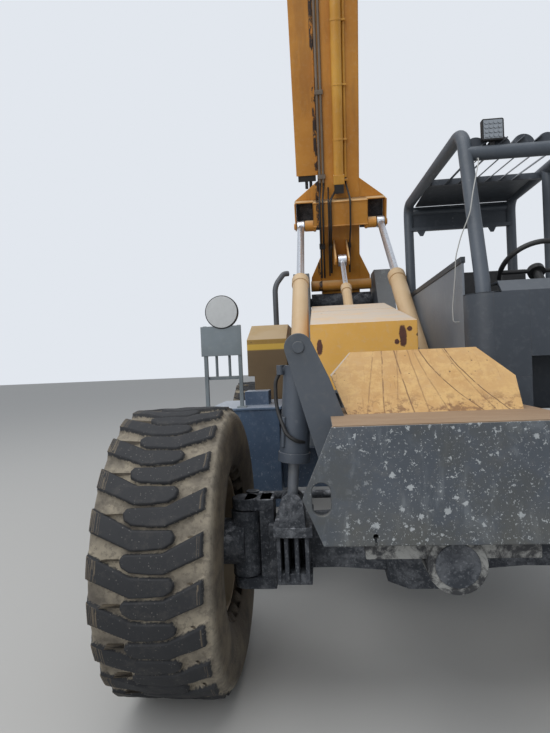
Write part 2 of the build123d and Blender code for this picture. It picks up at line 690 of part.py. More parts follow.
# Sway cylinder, hung from the frame's arm down to the axle
sway_barrel = fuse(
    rod((SWAY_X, SWAY_Y - 68, SWAY_TOP_Z), (SWAY_X, SWAY_Y + 68, SWAY_TOP_Z), 58),
    rod((SWAY_X, SWAY_Y, 1465), (SWAY_X, SWAY_Y, 1090), 62),
)
sway_barrel = sway_barrel - rod((SWAY_X, SWAY_Y, 1400), (SWAY_X, SWAY_Y, 1080), 28 + FIT)
sway_barrel = sway_barrel - rod((SWAY_X, SWAY_Y - 90, SWAY_TOP_Z), (SWAY_X, SWAY_Y + 90, SWAY_TOP_Z), 25)
save(sway_barrel, "sway_barrel")
save(fuse(
    rod((SWAY_X, SWAY_Y, 1300), (SWAY_X, SWAY_Y, SWAY_LOW_Z), 28),
    rod((SWAY_X, SWAY_Y - 25, SWAY_LOW_Z), (SWAY_X, SWAY_Y + 25, SWAY_LOW_Z), 42),
), "sway_rod")

# Cab
low_floor = fuse(
    block(CAB_IN, 1190, -835, -60, 1130, FLOOR_Z),
    block(CAB_IN, 655, -1230, -835, 1130, FLOOR_Z),
    block(640, 655, -1230, -820, FLOOR_Z, 1440),
    block(640, 1190, -1230, -820, 1440, 1455),
    block(655, 1190, -835, -820, FLOOR_Z, 1440),
)
save(low_floor, "cab_floor")

hoops = []
for x in (CAB_IN + TUBE_R, CAB_OUT - TUBE_R):
    base = FLOOR_Z if x < 640 else 1455
    hoop = bent_tube([(x, -1190, base), (x, -1120, 2300), (x, -900, ROOF_Z), (x, -105, ROOF_Z)], TUBE_R, 180)
    hoops.append(hoop - block(x - 60, x + 60, -1300, -1100, base - 50, base))
    hoops.append(rod((x, -105, FLOOR_Z), (x, -105, ROOF_Z + 20), TUBE_R))
cab_frame = fuse(
    *hoops,
    rod((CAB_IN + TUBE_R, -105, ROOF_Z - 10), (CAB_OUT - TUBE_R, -105, ROOF_Z - 10), 30),
    rod((CAB_IN + TUBE_R, -105, 1600), (CAB_OUT - TUBE_R, -105, 1600), 25),
    rod((CAB_IN + TUBE_R, -900, ROOF_Z), (CAB_OUT - TUBE_R, -900, ROOF_Z), 25),
)
save(cab_frame, "cab_frame")

slats = []
for k in range(8):
    y = -830 + k * 90
    slats.append(plate_x([(y, ROOF_Z + 10), (y + 6, ROOF_Z + 4), (y + 60, ROOF_Z + 44), (y + 54, ROOF_Z + 50)], 430, 1110))
side_rails = [block(416, 430, -860, -140, ROOF_Z - 10, ROOF_Z + 50), block(1110, 1124, -860, -140, ROOF_Z - 10, ROOF_Z + 50)]
save(fuse(*side_rails, *slats), "cab_roof_guard")

side_panel = plate_x([(-1190, 1150), (-1150, 1950), (-105, 1990), (-105, 1150)], CAB_IN, CAB_IN + 12)
save(largest(side_panel - cab_frame), "cab_side_panel")
save(plate_y([(340, 1110), (610, 1110), (640, 1455), (1190, 1455), (1190, 1650), (340, 1650)], -1242, -1230), "cab_front_panel")
rear_panel = block(CAB_IN + TUBE_R, CAB_OUT - TUBE_R, -111, -99, 2000, 2500)
save(largest(rear_panel - cab_frame), "cab_rear_panel")

seat = fuse(block(620, 920, -560, -300, FLOOR_Z, 1400), block(540, 1000, -620, -180, 1400, 1500),
            block(540, 1000, -260, -160, 1500, 2050))
save(seat, "seat")
console = plate_x([(-1230, 1455), (-1230, 1800), (-1090, 1800), (-1010, 1455)], 640, 900)
save(console, "dash_console")
wheel_y, wheel_z = -1000, 1900
column = rod((770, -1150, 1720), (770, wheel_y, wheel_z), 22)
tilt = Plane(origin=(770, wheel_y, wheel_z), z_dir=Vector(0, wheel_y + 1150, wheel_z - 1720))
column = column - console
save(fuse(column, tilt * Pos(0, 0, 10) * Solid.make_torus(190, 14), tilt * Box(30, 380, 12), tilt * Box(380, 30, 12)), "steering_wheel")

save(block(1010, 1110, -935, -925, 2600, 2700), "work_lamp")
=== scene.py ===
import bmesh
import bpy
import json
import math
import numpy as np
from mathutils import Matrix, Vector

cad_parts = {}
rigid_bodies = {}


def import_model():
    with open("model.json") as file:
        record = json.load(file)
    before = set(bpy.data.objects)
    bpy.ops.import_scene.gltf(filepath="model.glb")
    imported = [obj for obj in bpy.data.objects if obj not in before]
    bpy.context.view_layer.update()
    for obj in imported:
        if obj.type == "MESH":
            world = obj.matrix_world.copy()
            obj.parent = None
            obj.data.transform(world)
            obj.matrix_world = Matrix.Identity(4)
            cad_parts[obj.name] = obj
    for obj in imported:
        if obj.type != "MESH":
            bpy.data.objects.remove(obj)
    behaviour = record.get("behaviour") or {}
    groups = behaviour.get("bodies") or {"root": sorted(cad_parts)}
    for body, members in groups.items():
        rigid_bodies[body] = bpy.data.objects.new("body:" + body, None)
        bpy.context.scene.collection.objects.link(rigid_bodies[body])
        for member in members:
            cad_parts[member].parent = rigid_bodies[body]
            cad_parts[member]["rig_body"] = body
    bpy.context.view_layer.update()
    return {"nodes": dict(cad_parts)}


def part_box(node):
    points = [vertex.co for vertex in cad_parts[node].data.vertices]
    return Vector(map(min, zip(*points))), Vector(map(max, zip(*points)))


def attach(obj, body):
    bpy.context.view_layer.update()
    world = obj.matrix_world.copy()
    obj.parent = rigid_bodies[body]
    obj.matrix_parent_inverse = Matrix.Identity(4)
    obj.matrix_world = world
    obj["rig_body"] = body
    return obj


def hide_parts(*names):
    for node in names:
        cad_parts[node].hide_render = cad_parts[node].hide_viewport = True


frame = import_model()

# The model's origin against the middle of the wheelbase, in metres
TYRE_LOW, TYRE_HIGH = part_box("rear_right_tyre")
HALF_WHEELBASE = 1.575
MID_Y = (TYRE_LOW.y + TYRE_HIGH.y) / 2 - HALF_WHEELBASE


# Materials

class Shader:
    """A small helper that adds and joins shader nodes."""

    def __init__(self, name):
        self.material = bpy.data.materials.new(name)
        self.material.use_nodes = True
        self.tree = self.material.node_tree
        self.tree.nodes.clear()
        self.colour = None
        self.out = self.add("ShaderNodeOutputMaterial")
        self.bsdf = self.add("ShaderNodeBsdfPrincipled")
        self.join(self.bsdf, "BSDF", self.out, "Surface")
        self.coords = self.add("ShaderNodeTexCoord")
        self.geometry = self.add("ShaderNodeNewGeometry")
        self.split = self.add("ShaderNodeSeparateXYZ")
        self.join(self.coords, "Object", self.split, "Vector")

    def add(self, kind, inputs=None, **settings):
        node = self.tree.nodes.new(kind)
        for key, value in settings.items():
            setattr(node, key, value)
        for socket, value in (inputs or {}).items():
            self.feed(node, socket, value)
        return node

    def join(self, a, out, b, into):
        self.tree.links.new(a.outputs[out], b.inputs[into])

    def feed(self, node, socket, value):
        """Sets an input from a number, a colour in screen values or another socket."""
        target = node.inputs[socket]
        if isinstance(value, bpy.types.NodeSocket):
            self.tree.links.new(value, target)
        elif isinstance(value, (tuple, list)) and len(value) == 3 and target.type == "RGBA":
            target.default_value = (*rgb(*value), 1.0)
        else:
            target.default_value = value

    def place(self, scale=(1, 1, 1), offset=(0, 0, 0), turn=(0, 0, 0)):
        """The piece's rest coordinates in metres, stretched, moved and turned."""
        node = self.add("ShaderNodeMapping", {"Scale": scale, "Location": offset, "Rotation": turn})
        self.join(self.coords, "Object", node, "Vector")
        return node.outputs["Vector"]

    def noise(self, scale, detail, rough, where=None, distort=0.0):
        return self.add("ShaderNodeTexNoise", {
            "Vector": where or self.place(), "Scale": scale, "Detail": detail, "Roughness": rough,
            "Distortion": distort,
        }).outputs["Fac"]

    def spots(self, scale, small, large, where=None, ragged=0.25):
        """1 inside scattered blotches whose radii lie between small and large, in cells."""
        place = {"Vector": where or self.place(), "Scale": scale}
        node = self.add("ShaderNodeTexVoronoi", place, feature="F1")
        tint = self.add("ShaderNodeSeparateColor")
        self.join(node, "Color", tint, "Color")
        pick = self.math("POWER", tint.outputs["Red"], 3.0)
        radius = self.plus(self.times(pick, large - small), small)
        edge = self.times(self.minus(self.noise(scale * 4.0, 3, 0.6), 0.5), ragged)
        reach = self.minus(radius, self.plus(node.outputs["Distance"], edge))
        return self.ramp(reach, 0.0, 0.03)

    def ramp(self, value, low, high, start=0.0):
        """0 below low, 1 above high, or the other way round when it starts at 1."""
        return self.add("ShaderNodeMapRange", {
            "Value": value, "From Min": low, "From Max": high, "To Min": start, "To Max": 1.0 - start,
        }, interpolation_type="SMOOTHSTEP").outputs["Result"]

    def fade(self, value, low, high):
        """1 below low, 0 above high."""
        return self.ramp(value, low, high, 1.0)

    def patches(self, scale, detail, rough, low, high, offset=(0, 0, 0)):
        """1 where a noise is above high, 0 where it is below low."""
        return self.ramp(self.noise(scale, detail, rough, self.place(offset=offset)), low, high)

    def math(self, kind, a, b=0.0):
        return self.add("ShaderNodeMath", {0: a, 1: b}, operation=kind).outputs[0]

    def plus(self, a, b):
        return self.math("ADD", a, b)

    def minus(self, a, b):
        return self.math("SUBTRACT", a, b)

    def times(self, *values):
        total = values[0]
        for value in values[1:]:
            total = self.math("MULTIPLY", total, value)
        return total

    def most(self, *values):
        total = values[0]
        for value in values[1:]:
            total = self.math("MAXIMUM", total, value)
        return total

    def mix(self, factor, a, b):
        """Colour a where factor is 0 and b where it is 1; 6, 7 and 2 are the node's colour sockets."""
        return self.add("ShaderNodeMix", {0: factor, 6: a, 7: b}, data_type="RGBA").outputs[2]

    def normal(self, name):
        node = self.add("ShaderNodeSeparateXYZ")
        self.join(self.coords, "Normal", node, "Vector")
        return node.outputs[name]

    def axis(self, name):
        return self.split.outputs[name]

    def value(self, name):
        """A number stored with the mesh."""
        return self.add("ShaderNodeAttribute", attribute_name=name).outputs["Fac"]

    def near(self, axis, centre, half, soft):
        """1 where a coordinate lies within half of centre."""
        away = self.math("ABSOLUTE", self.minus(self.axis(axis), centre))
        return self.fade(away, half, half + soft)

    def edges(self, width):
        """1 near a piece's sharp edges."""
        node = self.add("ShaderNodeBevel", {"Radius": width}, samples=3)
        dot = self.add("ShaderNodeVectorMath", operation="DOT_PRODUCT")
        self.join(node, "Normal", dot, 0)
        self.join(self.geometry, "Normal", dot, 1)
        return self.fade(dot.outputs["Value"], 0.80, 0.985)

    def lay(self, amount, tint):
        """Covers the colour so far by another, as far as an amount from 0 to 1 says."""
        self.colour = self.mix(amount, self.colour, tint)

    def finish(self, rough, bump=None, depth=0.002, metal=0.0):
        for socket, value in (("Base Color", self.colour), ("Roughness", rough), ("Metallic", metal)):
            self.feed(self.bsdf, socket, value)
        if bump is not None:
            node = self.add("ShaderNodeBump", {"Strength": 1.0, "Distance": depth, "Height": bump})
            self.join(node, "Normal", self.bsdf, "Normal")
        return self.material


def rgb(r, g, b):
    """Linear colour from 0 to 255 screen values."""
    out = []
    for value in (r, g, b):
        c = value / 255
        out.append(c / 12.92 if c <= 0.04045 else ((c + 0.055) / 1.055) ** 2.4)
    return tuple(out)


def base_paint(s, base, deep, dust, dust_amount, rust, chips, gloss, seed, edge_tone=(96, 78, 62)):
    """Old paint that has faded, with dust on what faces up, rust in patches and worn edges."""
    where = s.place(offset=(seed, seed * 0.7, seed * 1.3))
    wide = s.noise(1.8, 4, 0.6, where)
    fine = s.noise(28.0, 6, 0.65, where)
    s.colour = s.mix(s.ramp(wide, 0.35, 0.68), base, deep)
    s.lay(s.times(s.ramp(fine, 0.48, 0.78), 0.22), dust)
    patchy = s.ramp(s.noise(5.0, 6, 0.6, where), 0.22, 0.6)
    settled = s.times(s.ramp(s.normal("Z"), 0.15, 0.9), dust_amount)
    settled = s.times(settled, s.plus(s.times(patchy, 0.45), 0.55))
    s.lay(settled, dust)
    rough = s.plus(gloss, s.times(settled, 0.35))
    marks = s.noise(8.0, 8, 0.74, s.place(offset=(3 + seed, 1, 2)), 0.6)
    rusty = s.times(s.ramp(marks, 0.72 - 0.10 * rust, 0.75 - 0.10 * rust), min(1.0, rust * 3))
    tone = s.mix(s.noise(60.0, 3, 0.6), (52, 34, 26), (112, 66, 40))
    s.lay(rusty, tone)
    worn = s.times(s.edges(0.005), s.patches(18.0, 5, 0.7, 0.45, 0.60), chips)
    s.lay(worn, edge_tone)
    bump = s.plus(s.times(fine, 0.25), s.times(rusty, -0.5))
    return rough, bump


def painted(name, base, deep, dust, dust_amount, rust, speck=0.0, chips=0.3, gloss=0.45):
    """Old paint, with pale specks where speck is above 0."""
    s = Shader(name)
    rough, bump = base_paint(s, base, deep, dust, dust_amount, rust, chips, gloss, seed=0.0)
    if speck > 0:
        which = s.patches(2.6, 3, 0.5, 0.42, 0.60, offset=(7, 0, 3))
        dots = s.times(s.spots(36.0, -0.25, 0.32), which, speck)
        s.lay(dots, (176, 180, 180))
    return s.finish(rough, bump, 0.0012)


def frame_paint(name):
    """Slate paint, splashed with pale mud on the front plate and rusty on the box's top."""
    s = Shader(name)
    rough, bump = base_paint(
        s, (78, 84, 92), (68, 74, 81), (120, 118, 112), 0.55, 0.10, 0.7, 0.5, 0.0, (150, 152, 150))
    front = s.fade(s.axis("Y"), MID_Y - 2.236, MID_Y - 2.228)
    cloud = s.patches(1.7, 3, 0.5, 0.34, 0.60, offset=(1.3, 0, 0.55))
    middle = s.near("X", 0.02, 0.22, 0.30)
    dense = s.times(s.plus(s.times(cloud, 0.6), s.times(middle, 0.4)), s.plus(s.times(front, 0.8), 0.2))
    big = s.spots(15.0, -0.75, 0.36, s.place(scale=(1.0, 1.0, 0.8)), 0.9)
    medium = s.spots(34.0, -0.50, 0.42, s.place(offset=(0.4, 0.2, 0.1)), 0.9)
    flecks = s.patches(46.0, 5, 0.7, 0.615, 0.635, offset=(2, 1, 5))
    small = s.patches(105.0, 4, 0.65, 0.61, 0.635, offset=(0.1, 0.6, 0.9))
    drops = s.most(s.times(big, 0.8), s.times(medium, 0.75), s.times(flecks, 0.8), s.times(small, 0.7))
    splash = s.times(drops, s.ramp(dense, 0.10, 0.5))
    pale = s.mix(s.noise(40.0, 3, 0.6), (150, 156, 160), (206, 210, 210))
    smear = s.noise(9.0, 6, 0.7, s.place(scale=(1.0, 1.0, 0.30), offset=(5, 2, 1)), 0.8)
    s.lay(s.times(s.ramp(smear, 0.53, 0.70), front, 0.38), (140, 146, 150))
    dirt = s.times(s.patches(4.0, 6, 0.7, 0.45, 0.62, offset=(2, 4, 3)), front, 0.45)
    s.lay(dirt, (74, 74, 68))
    foot = s.fade(s.axis("Z"), 0.84, 1.05)
    grime = s.times(foot, s.patches(3.0, 4, 0.6, 0.35, 0.6), front)
    s.lay(s.times(grime, 0.55), (92, 90, 80))
    s.lay(splash, pale)
    orange = s.times(s.spots(7.0, -1.4, 0.13, s.place(offset=(0.31, 0.2, 0.12)), 0.35), front)
    s.lay(s.times(orange, 0.9), (168, 104, 62))
    top = s.times(s.ramp(s.normal("Z"), 0.7, 0.95), s.near("Z", 1.25, 0.004, 0.003),
                  s.fade(s.axis("Y"), MID_Y - 1.40, MID_Y - 1.35))
    streaky = s.noise(6.0, 6, 0.65, s.place(scale=(0.5, 2.0, 1.0)))
    brown = s.mix(streaky, (126, 98, 72), (172, 148, 122))
    s.lay(top, brown)
    under = s.times(s.fade(s.axis("Z"), 0.828, 0.838),
                    s.fade(s.axis("Y"), MID_Y - 1.95, MID_Y - 1.90))
    crust = s.noise(13.0, 8, 0.75, s.place(offset=(1, 3, 7)), 0.5)
    mud = s.mix(s.ramp(crust, 0.42, 0.60), (44, 44, 46), (158, 158, 154))
    s.lay(s.times(under, 0.9), mud)
    bump = s.plus(bump, s.times(under, crust, 3.0))
    return s.finish(rough, s.plus(bump, s.times(splash, 0.5)), 0.0015)


# Scratches on the front cover: x at the foot, its change up the slope, its bend, and how dark
SCRATCHES = [
    (-0.194, 0.030, 0.0, 0.8), (-0.078, -0.036, 0.006, 0.9), (0.185, -0.290, 0.110, 1.0),
    (0.290, -0.260, 0.090, 1.0), (-0.018, -0.030, 0.0, 0.5), (-0.140, 0.055, -0.01, 0.4),
    (0.060, -0.110, 0.030, 0.45), (-0.262, 0.060, 0.0, 0.5), (0.240, -0.170, 0.040, 0.5),
]


def cover_paint(name):
    """Faded yellow with long scratches, dark chips and pale dusty sides."""
    s = Shader(name)
    rough, bump = base_paint(
        s, (194, 150, 84), (176, 128, 60), (206, 186, 152), 0.25, 0.14, 0.8, 0.55, 2.0, (110, 84, 56))
    flecks = s.noise(14.0, 7, 0.8, s.place(offset=(4, 4, 4)))
    s.lay(s.times(s.ramp(flecks, 0.44, 0.62), 0.6), (208, 172, 112))
    slope = s.math("DIVIDE", s.minus(s.axis("Y"), MID_Y - 1.860), 0.295)
    square = s.times(slope, slope)
    wobble = s.times(s.minus(s.noise(9.0, 3, 0.6), 0.5), 0.012)
    lines = None
    for foot, lean, bend, dark in SCRATCHES:
        path = s.plus(s.plus(s.times(slope, lean), s.times(square, bend)), foot)
        away = s.math("ABSOLUTE", s.minus(s.plus(s.axis("X"), wobble), path))
        line = s.times(s.fade(away, 0.0012, 0.0042), dark)
        lines = line if lines is None else s.most(lines, line)
    broken = s.patches(16.0, 4, 0.6, 0.32, 0.50, offset=(2, 2, 8))
    s.lay(s.times(lines, broken, 0.85), (96, 66, 42))
    fine = s.noise(5.0, 4, 0.6, s.place(scale=(30.0, 1.2, 1.2), turn=(0, 0, 0.12)))
    s.lay(s.times(s.ramp(fine, 0.62, 0.70), 0.45), (140, 100, 60))
    dark = s.spots(46.0, -0.5, 0.30, s.place(offset=(0.3, 0.4, 0.5)), 0.5)
    s.lay(s.times(dark, 0.75), (76, 50, 36))
    low = s.times(s.fade(slope, 0.02, 0.34),
                  s.patches(22.0, 6, 0.75, 0.50, 0.60, offset=(6, 1, 3)))
    s.lay(s.times(low, 0.7), (104, 68, 42))
    blots = s.spots(6.0, -0.9, 0.20, s.place(offset=(0.62, 0.5, 0.35)), 0.55)
    s.lay(s.times(blots, 0.85), (88, 52, 52))
    pale = s.most(s.ramp(s.normal("X"), 0.45, 0.75), s.fade(s.normal("X"), -0.75, -0.45))
    s.lay(s.times(pale, 0.9), s.mix(s.noise(12.0, 5, 0.6), (184, 168, 146), (214, 204, 190)))
    return s.finish(rough, s.plus(bump, s.times(lines, -0.5)), 0.0015)


# Rust on the middle cover's front: x, z, half width, half height in metres
RUST_BLOTS = [(0.035, 1.600, 0.024, 0.075), (-0.447, 1.556, 0.022, 0.048), (0.075, 1.640, 0.018, 0.016),
              (0.000, 1.570, 0.016, 0.018)]


def middle_paint(name):
    """The middle cover: yellow sides, a pale dusty top, rust at both front corners."""
    s = Shader(name)
    rough, bump = base_paint(
        s, (230, 178, 90), (220, 166, 74), (200, 188, 174), 0.97, 0.05, 0.6, 0.5, 5.0, (96, 66, 44))
    dots = s.spots(11.0, -0.55, 0.15, s.place(offset=(0.15, 0.3, 0.22)), 0.25)
    s.lay(s.times(dots, 0.85), (70, 48, 34))
    ragged = s.times(s.minus(s.noise(24.0, 6, 0.75), 0.5), 1.5)
    front = s.fade(s.axis("Y"), MID_Y - 0.93, MID_Y - 0.90)
    for x, z, wide, tall in RUST_BLOTS:
        across = s.math("DIVIDE", s.minus(s.axis("X"), x), wide)
        upward = s.math("DIVIDE", s.minus(s.axis("Z"), z), tall)
        away = s.math("SQRT", s.plus(s.times(across, across), s.times(upward, upward)))
        inside = s.times(s.fade(s.plus(away, ragged), 0.75, 1.0), front)
        s.lay(inside, s.mix(s.noise(50.0, 3, 0.6), (46, 26, 20), (110, 62, 44)))
    seam = s.times(s.near("Y", MID_Y - 0.07, 0.003, 0.002), s.ramp(s.normal("Z"), 0.5, 0.8))
    s.lay(s.times(seam, 0.9), (84, 72, 58))
    return s.finish(rough, s.minus(bump, seam), 0.002)


def boom_paint(name, base=(202, 140, 56), deep=(186, 124, 44)):
    """Ochre boom paint, dusty on top, with black chips beside the pipes and a few rust spots."""
    s = Shader(name)
    rough, bump = base_paint(
        s, base, deep, (206, 178, 134), 0.85, 0.10, 0.5, 0.42, 8.0, (84, 58, 40))
    along = s.noise(3.0, 5, 0.6, s.place(scale=(3.0, 0.5, 0.5), offset=(2, 0, 0)))
    s.lay(s.times(s.ramp(along, 0.5, 0.7), 0.35), (138, 92, 44))
    chips = s.noise(7.0, 6, 0.7, s.place(scale=(1.6, 1.0, 0.7), offset=(1, 5, 2)))
    strip = s.near("X", -0.403, 0.014, 0.012)
    s.lay(s.times(strip, s.ramp(chips, 0.47, 0.53)), (52, 40, 36))
    dots = s.spots(13.0, -0.85, 0.12, s.place(offset=(0.5, 0.1, 0.3)), 0.4)
    s.lay(s.times(dots, 0.85), (60, 40, 30))
    return s.finish(rough, bump, 0.0012)


def tank_paint(name):
    """Dark blue with fine pale splashes, thicker runs from the top and a shiny lid, whose paler colour is a
    painted sheen.
    """
    s = Shader(name)
    rough, bump = base_paint(
        s, (80, 99, 122), (64, 80, 102), (150, 158, 170), 0.25, 0.05, 0.5, 0.42, 11.0, (130, 134, 138))
    fine = s.spots(120.0, -0.10, 0.42, s.place(scale=(1.0, 1.0, 0.6)), 0.5)
    wide = s.spots(48.0, -0.5, 0.42, s.place(offset=(0.2, 0.1, 0.4), scale=(1.0, 1.0, 0.6)), 0.5)
    lower = s.plus(s.times(s.fade(s.axis("Z"), 0.62, 1.10), 0.7), 0.3)
    s.lay(s.times(s.most(fine, wide), lower, 0.55), (150, 160, 172))
    runs = s.noise(14.0, 5, 0.65, s.place(scale=(2.2, 2.2, 0.12), offset=(3, 0, 0)))
    high = s.times(s.ramp(s.axis("Z"), 0.86, 1.14), s.fade(s.axis("X"), -1.12, -0.98))
    s.lay(s.times(s.ramp(runs, 0.46, 0.60), high), (212, 218, 222))
    # Painted sheen on the tank's top: its colour is laid paler, besides the real drop in roughness below.
    lid = s.times(s.ramp(s.normal("Z"), 0.8, 0.95), s.ramp(s.axis("Z"), 1.165, 1.17))
    s.lay(s.times(lid, 0.8), (150, 158, 170))
    return s.finish(s.minus(rough, s.times(lid, 0.2)), bump, 0.0012)


def hood_paint(name):
    """Mustard hood with a dusty top, a bright band and painted shade in dark brown below it."""
    s = Shader(name)
    rough, bump = base_paint(
        s, (160, 128, 58), (146, 114, 48), (172, 152, 122), 0.95, 0.16, 0.6, 0.5, 14.0, (110, 92, 60))
    bright = s.near("Z", 1.600, 0.018, 0.01)
    s.lay(s.times(bright, 0.85), (206, 168, 66))
    # Painted shade: below the band, the lower face is laid dark brown where shade falls under the hood's
    # front edge.
    below = s.fade(s.axis("Z"), 1.570, 1.585)
    s.lay(s.times(below, 0.92), s.mix(s.noise(6.0, 4, 0.6), (84, 68, 48), (104, 84, 58)))
    dark = s.spots(40.0, -0.6, 0.28, None, 0.5)
    s.lay(s.times(dark, 0.6), (70, 54, 36))
    return s.finish(rough, bump, 0.0012)


def side_paint(name):
    """The cab's side panel: grey, with a dark upper edge and pale smears."""
    s = Shader(name)
    rough, bump = base_paint(
        s, (120, 126, 134), (106, 112, 120), (150, 154, 158), 0.3, 0.03, 0.4, 0.45, 17.0, (130, 132, 134))
    dark = s.ramp(s.axis("Z"), 1.950, 1.956)
    s.lay(dark, (46, 50, 56))
    smear = s.noise(5.0, 5, 0.6, s.place(scale=(1.0, 1.0, 0.3)))
    s.lay(s.times(s.ramp(smear, 0.5, 0.7), 0.25), (136, 138, 140))
    return s.finish(rough, bump, 0.001)


def greasy(name, base, mud):
    """Black oily metal with dried mud caked on it."""
    s = Shader(name)
    lumps = s.noise(14.0, 8, 0.7, None, 0.4)
    fine = s.noise(84.0, 5, 0.6)
    where = s.ramp(lumps, 0.44, 0.64)
    s.colour = s.mix(s.noise(4.0, 3, 0.5), base, [int(v * 0.6) for v in base])
    s.lay(s.times(where, 0.6), mud)
    crust = s.times(s.patches(9.0, 6, 0.7, 0.54, 0.64, offset=(4, 1, 2)),
                    s.ramp(s.normal("Z"), -0.3, 0.6))
    s.lay(s.times(crust, 0.7), [min(255, v + 62) for v in mud])
    s.lay(s.times(s.ramp(fine, 0.52, 0.7), 0.35), [min(255, v + 44) for v in mud])
    bump = s.plus(lumps, s.times(fine, 0.3))
    return s.finish(0.7, bump, 0.006)


def tyre_rubber(name):
    """Worn black lug tops, dusty grooves and a brown scuffed sidewall."""
    s = Shader(name)
    edge = s.value("lug_edge")
    radius = s.value("wheel_radius")
    wall = s.value("sidewall")
    frayed = s.times(s.minus(s.noise(70.0, 4, 0.65), 0.5), 0.010)
    top = s.fade(s.plus(edge, frayed), -0.0015, 0.0015)
    grey = s.mix(s.noise(5.0, 4, 0.6), (26, 28, 32), (38, 39, 42))
    grit = s.spots(150.0, -0.45, 0.42, None, 0.4)
    grey = s.mix(s.times(grit, 0.6), grey, (104, 102, 98))
    grey = s.mix(s.times(s.patches(16.0, 6, 0.75, 0.52, 0.66, offset=(1, 2, 3)), 0.30),
                 grey, (70, 67, 64))
    dust = s.mix(s.patches(7.0, 5, 0.65, 0.3, 0.7), (92, 86, 78), (150, 141, 124))
    dust = s.mix(s.times(s.patches(40.0, 4, 0.7, 0.5, 0.62), 0.5), dust, (84, 78, 70))
    s.colour = s.mix(top, dust, grey)
    rings = s.noise(1.0, 3, 0.6, s.place(scale=(2, 2, 2)))
    wave = s.math("SINE", s.plus(s.times(radius, 520.0), s.times(rings, 9.0)))
    brown = s.mix(s.patches(9.0, 6, 0.7, 0.3, 0.7), (66, 60, 53), (112, 101, 84))
    brown = s.mix(s.times(s.ramp(wave, 0.5, 1.0), 0.30), brown, (66, 58, 50))
    near_rim = s.fade(radius, 0.36, 0.47)
    brown = s.mix(s.times(near_rim, 0.6), brown, (70, 62, 54))
    s.lay(wall, brown)
    bump = s.plus(s.times(s.noise(60.0, 5, 0.7), 0.5), s.times(wave, wall, 0.2))
    rough = s.minus(0.88, s.times(top, 0.16))
    return s.finish(rough, bump, 0.002)


def chrome(name):
    """A bright rod, smeared along its length."""
    s = Shader(name)
    smear = s.noise(30.0, 4, 0.6, s.place(scale=(1, 1, 0.2)))
    s.colour = s.mix(s.times(s.ramp(smear, 0.5, 0.75), 0.5), (215, 219, 226), (140, 138, 134))
    return s.finish(s.plus(0.20, s.times(smear, 0.2)), metal=0.85)


def plain(name, colour, rough, metal=0.0):
    """One colour with faint pale patches."""
    s = Shader(name)
    fine = s.noise(35.0, 4, 0.6)
    faded = [min(255, int(v * 0.8 + 24)) for v in colour]
    s.colour = s.mix(s.times(s.ramp(fine, 0.4, 0.7), 0.4), colour, faded)
    return s.finish(rough, fine, 0.0006, metal)


# For painted: the colour, its darker patches and its dust, then how much dust, rust, specks, chips and gloss
MATERIALS = {
    "boom": boom_paint("boom yellow"),
    "extension": boom_paint("extension cylinder yellow", (212, 158, 64), (196, 140, 52)),
    "cover": cover_paint("front cover yellow"),
    "middle": middle_paint("middle cover yellow"),
    "hood": hood_paint("hood mustard"),
    "frame": frame_paint("frame grey"),
    "ballast": painted("counterweight grey", (78, 84, 92), (68, 74, 81), (130, 126, 118), 0.55, 0.12, 0.4),
    "tank": tank_paint("tank blue"),
    "cab": painted("cab grey", (66, 72, 80), (56, 62, 70), (112, 116, 120), 0.35, 0.05, 0.15, 0.25),
    "tube": painted("cab tube grey", (78, 85, 94), (66, 73, 81), (104, 108, 112), 0.30, 0.04, 0.10, 0.3),
    "roof": painted("roof slat grey", (64, 70, 78), (50, 55, 62), (150, 156, 162), 0.5, 0.05, 0.1, 0.3),
    "panel": side_paint("side panel grey"),
    "axle": greasy("axle iron", (52, 57, 65), (104, 107, 112)),
    "tyre": tyre_rubber("tyre rubber"),
    "rim": painted("rim tan", (146, 130, 108), (118, 105, 88), (150, 138, 116), 0.5, 0.4),
    "barrel": painted("barrel tan", (196, 168, 132), (186, 154, 112), (206, 186, 154), 0.4, 0.06, 0.0, 0.2),
    "sway": painted("cylinder grey", (74, 81, 91), (60, 66, 75), (110, 112, 114), 0.4, 0.04, 0.1),
    "galvanised": painted("galvanised steel", (118, 128, 134), (100, 108, 112), (150, 154, 150), 0.3, 0.14),
    "chrome": chrome("chrome rod"),
    "hose": plain("black hose", (34, 33, 33), 0.5),
    "pipe": painted("pipe brown", (124, 112, 100), (106, 94, 82), (140, 128, 112), 0.4, 0.20),
    "black": plain("black rubber", (26, 26, 27), 0.55),
    "vinyl": plain("seat vinyl", (30, 30, 31), 0.45),
    "exhaust": painted("exhaust", (74, 78, 84), (58, 62, 66), (100, 98, 94), 0.3, 0.1),
    "fork": painted("fork black", (40, 40, 42), (30, 30, 32), (110, 100, 90), 0.3, 0.6),
    # The mirror's flat pale grey is a painted reflection, not a mirror finish.
    "glass": plain("mirror painted reflection", (176, 178, 178), 0.35, 0.2),
    "lens": plain("lamp glass", (150, 156, 162), 0.2, 0.4),
    "worn": painted("worn rod", (112, 116, 122), (88, 92, 98), (140, 138, 132), 0.3, 0.15, 0.1, 0.2, 0.3),
    "cable": plain("cable sheath", (176, 176, 172), 0.5),
}

# What the CAD nodes that keep their form are made of
NODE_MATERIAL = {
    "counterweight": "ballast", "tow_hitch": "ballast", "carriage": "ballast", "hydraulic_tank": "tank",
    "engine_hood": "hood", "engine_block": "axle", "rear_axle": "axle", "front_tie_rod": "axle",
    "rear_tie_rod": "axle", "level_pin": "axle", "seat": "vinyl", "boom_middle": "boom",
    "boom_inner": "boom", "forks": "fork", "lift_barrels": "barrel", "slave_barrel": "barrel",
    "lift_rods": "chrome", "slave_rod": "chrome",
}
for corner in ("front_left", "front_right", "rear_left", "rear_right"):
    NODE_MATERIAL[corner + "_knuckle"] = "axle"
    NODE_MATERIAL[corner + "_rim"] = "rim"


def put(name, data):
    """A new object in the scene."""
    obj = bpy.data.objects.new(name, data)
    bpy.context.scene.collection.objects.link(obj)
    return obj


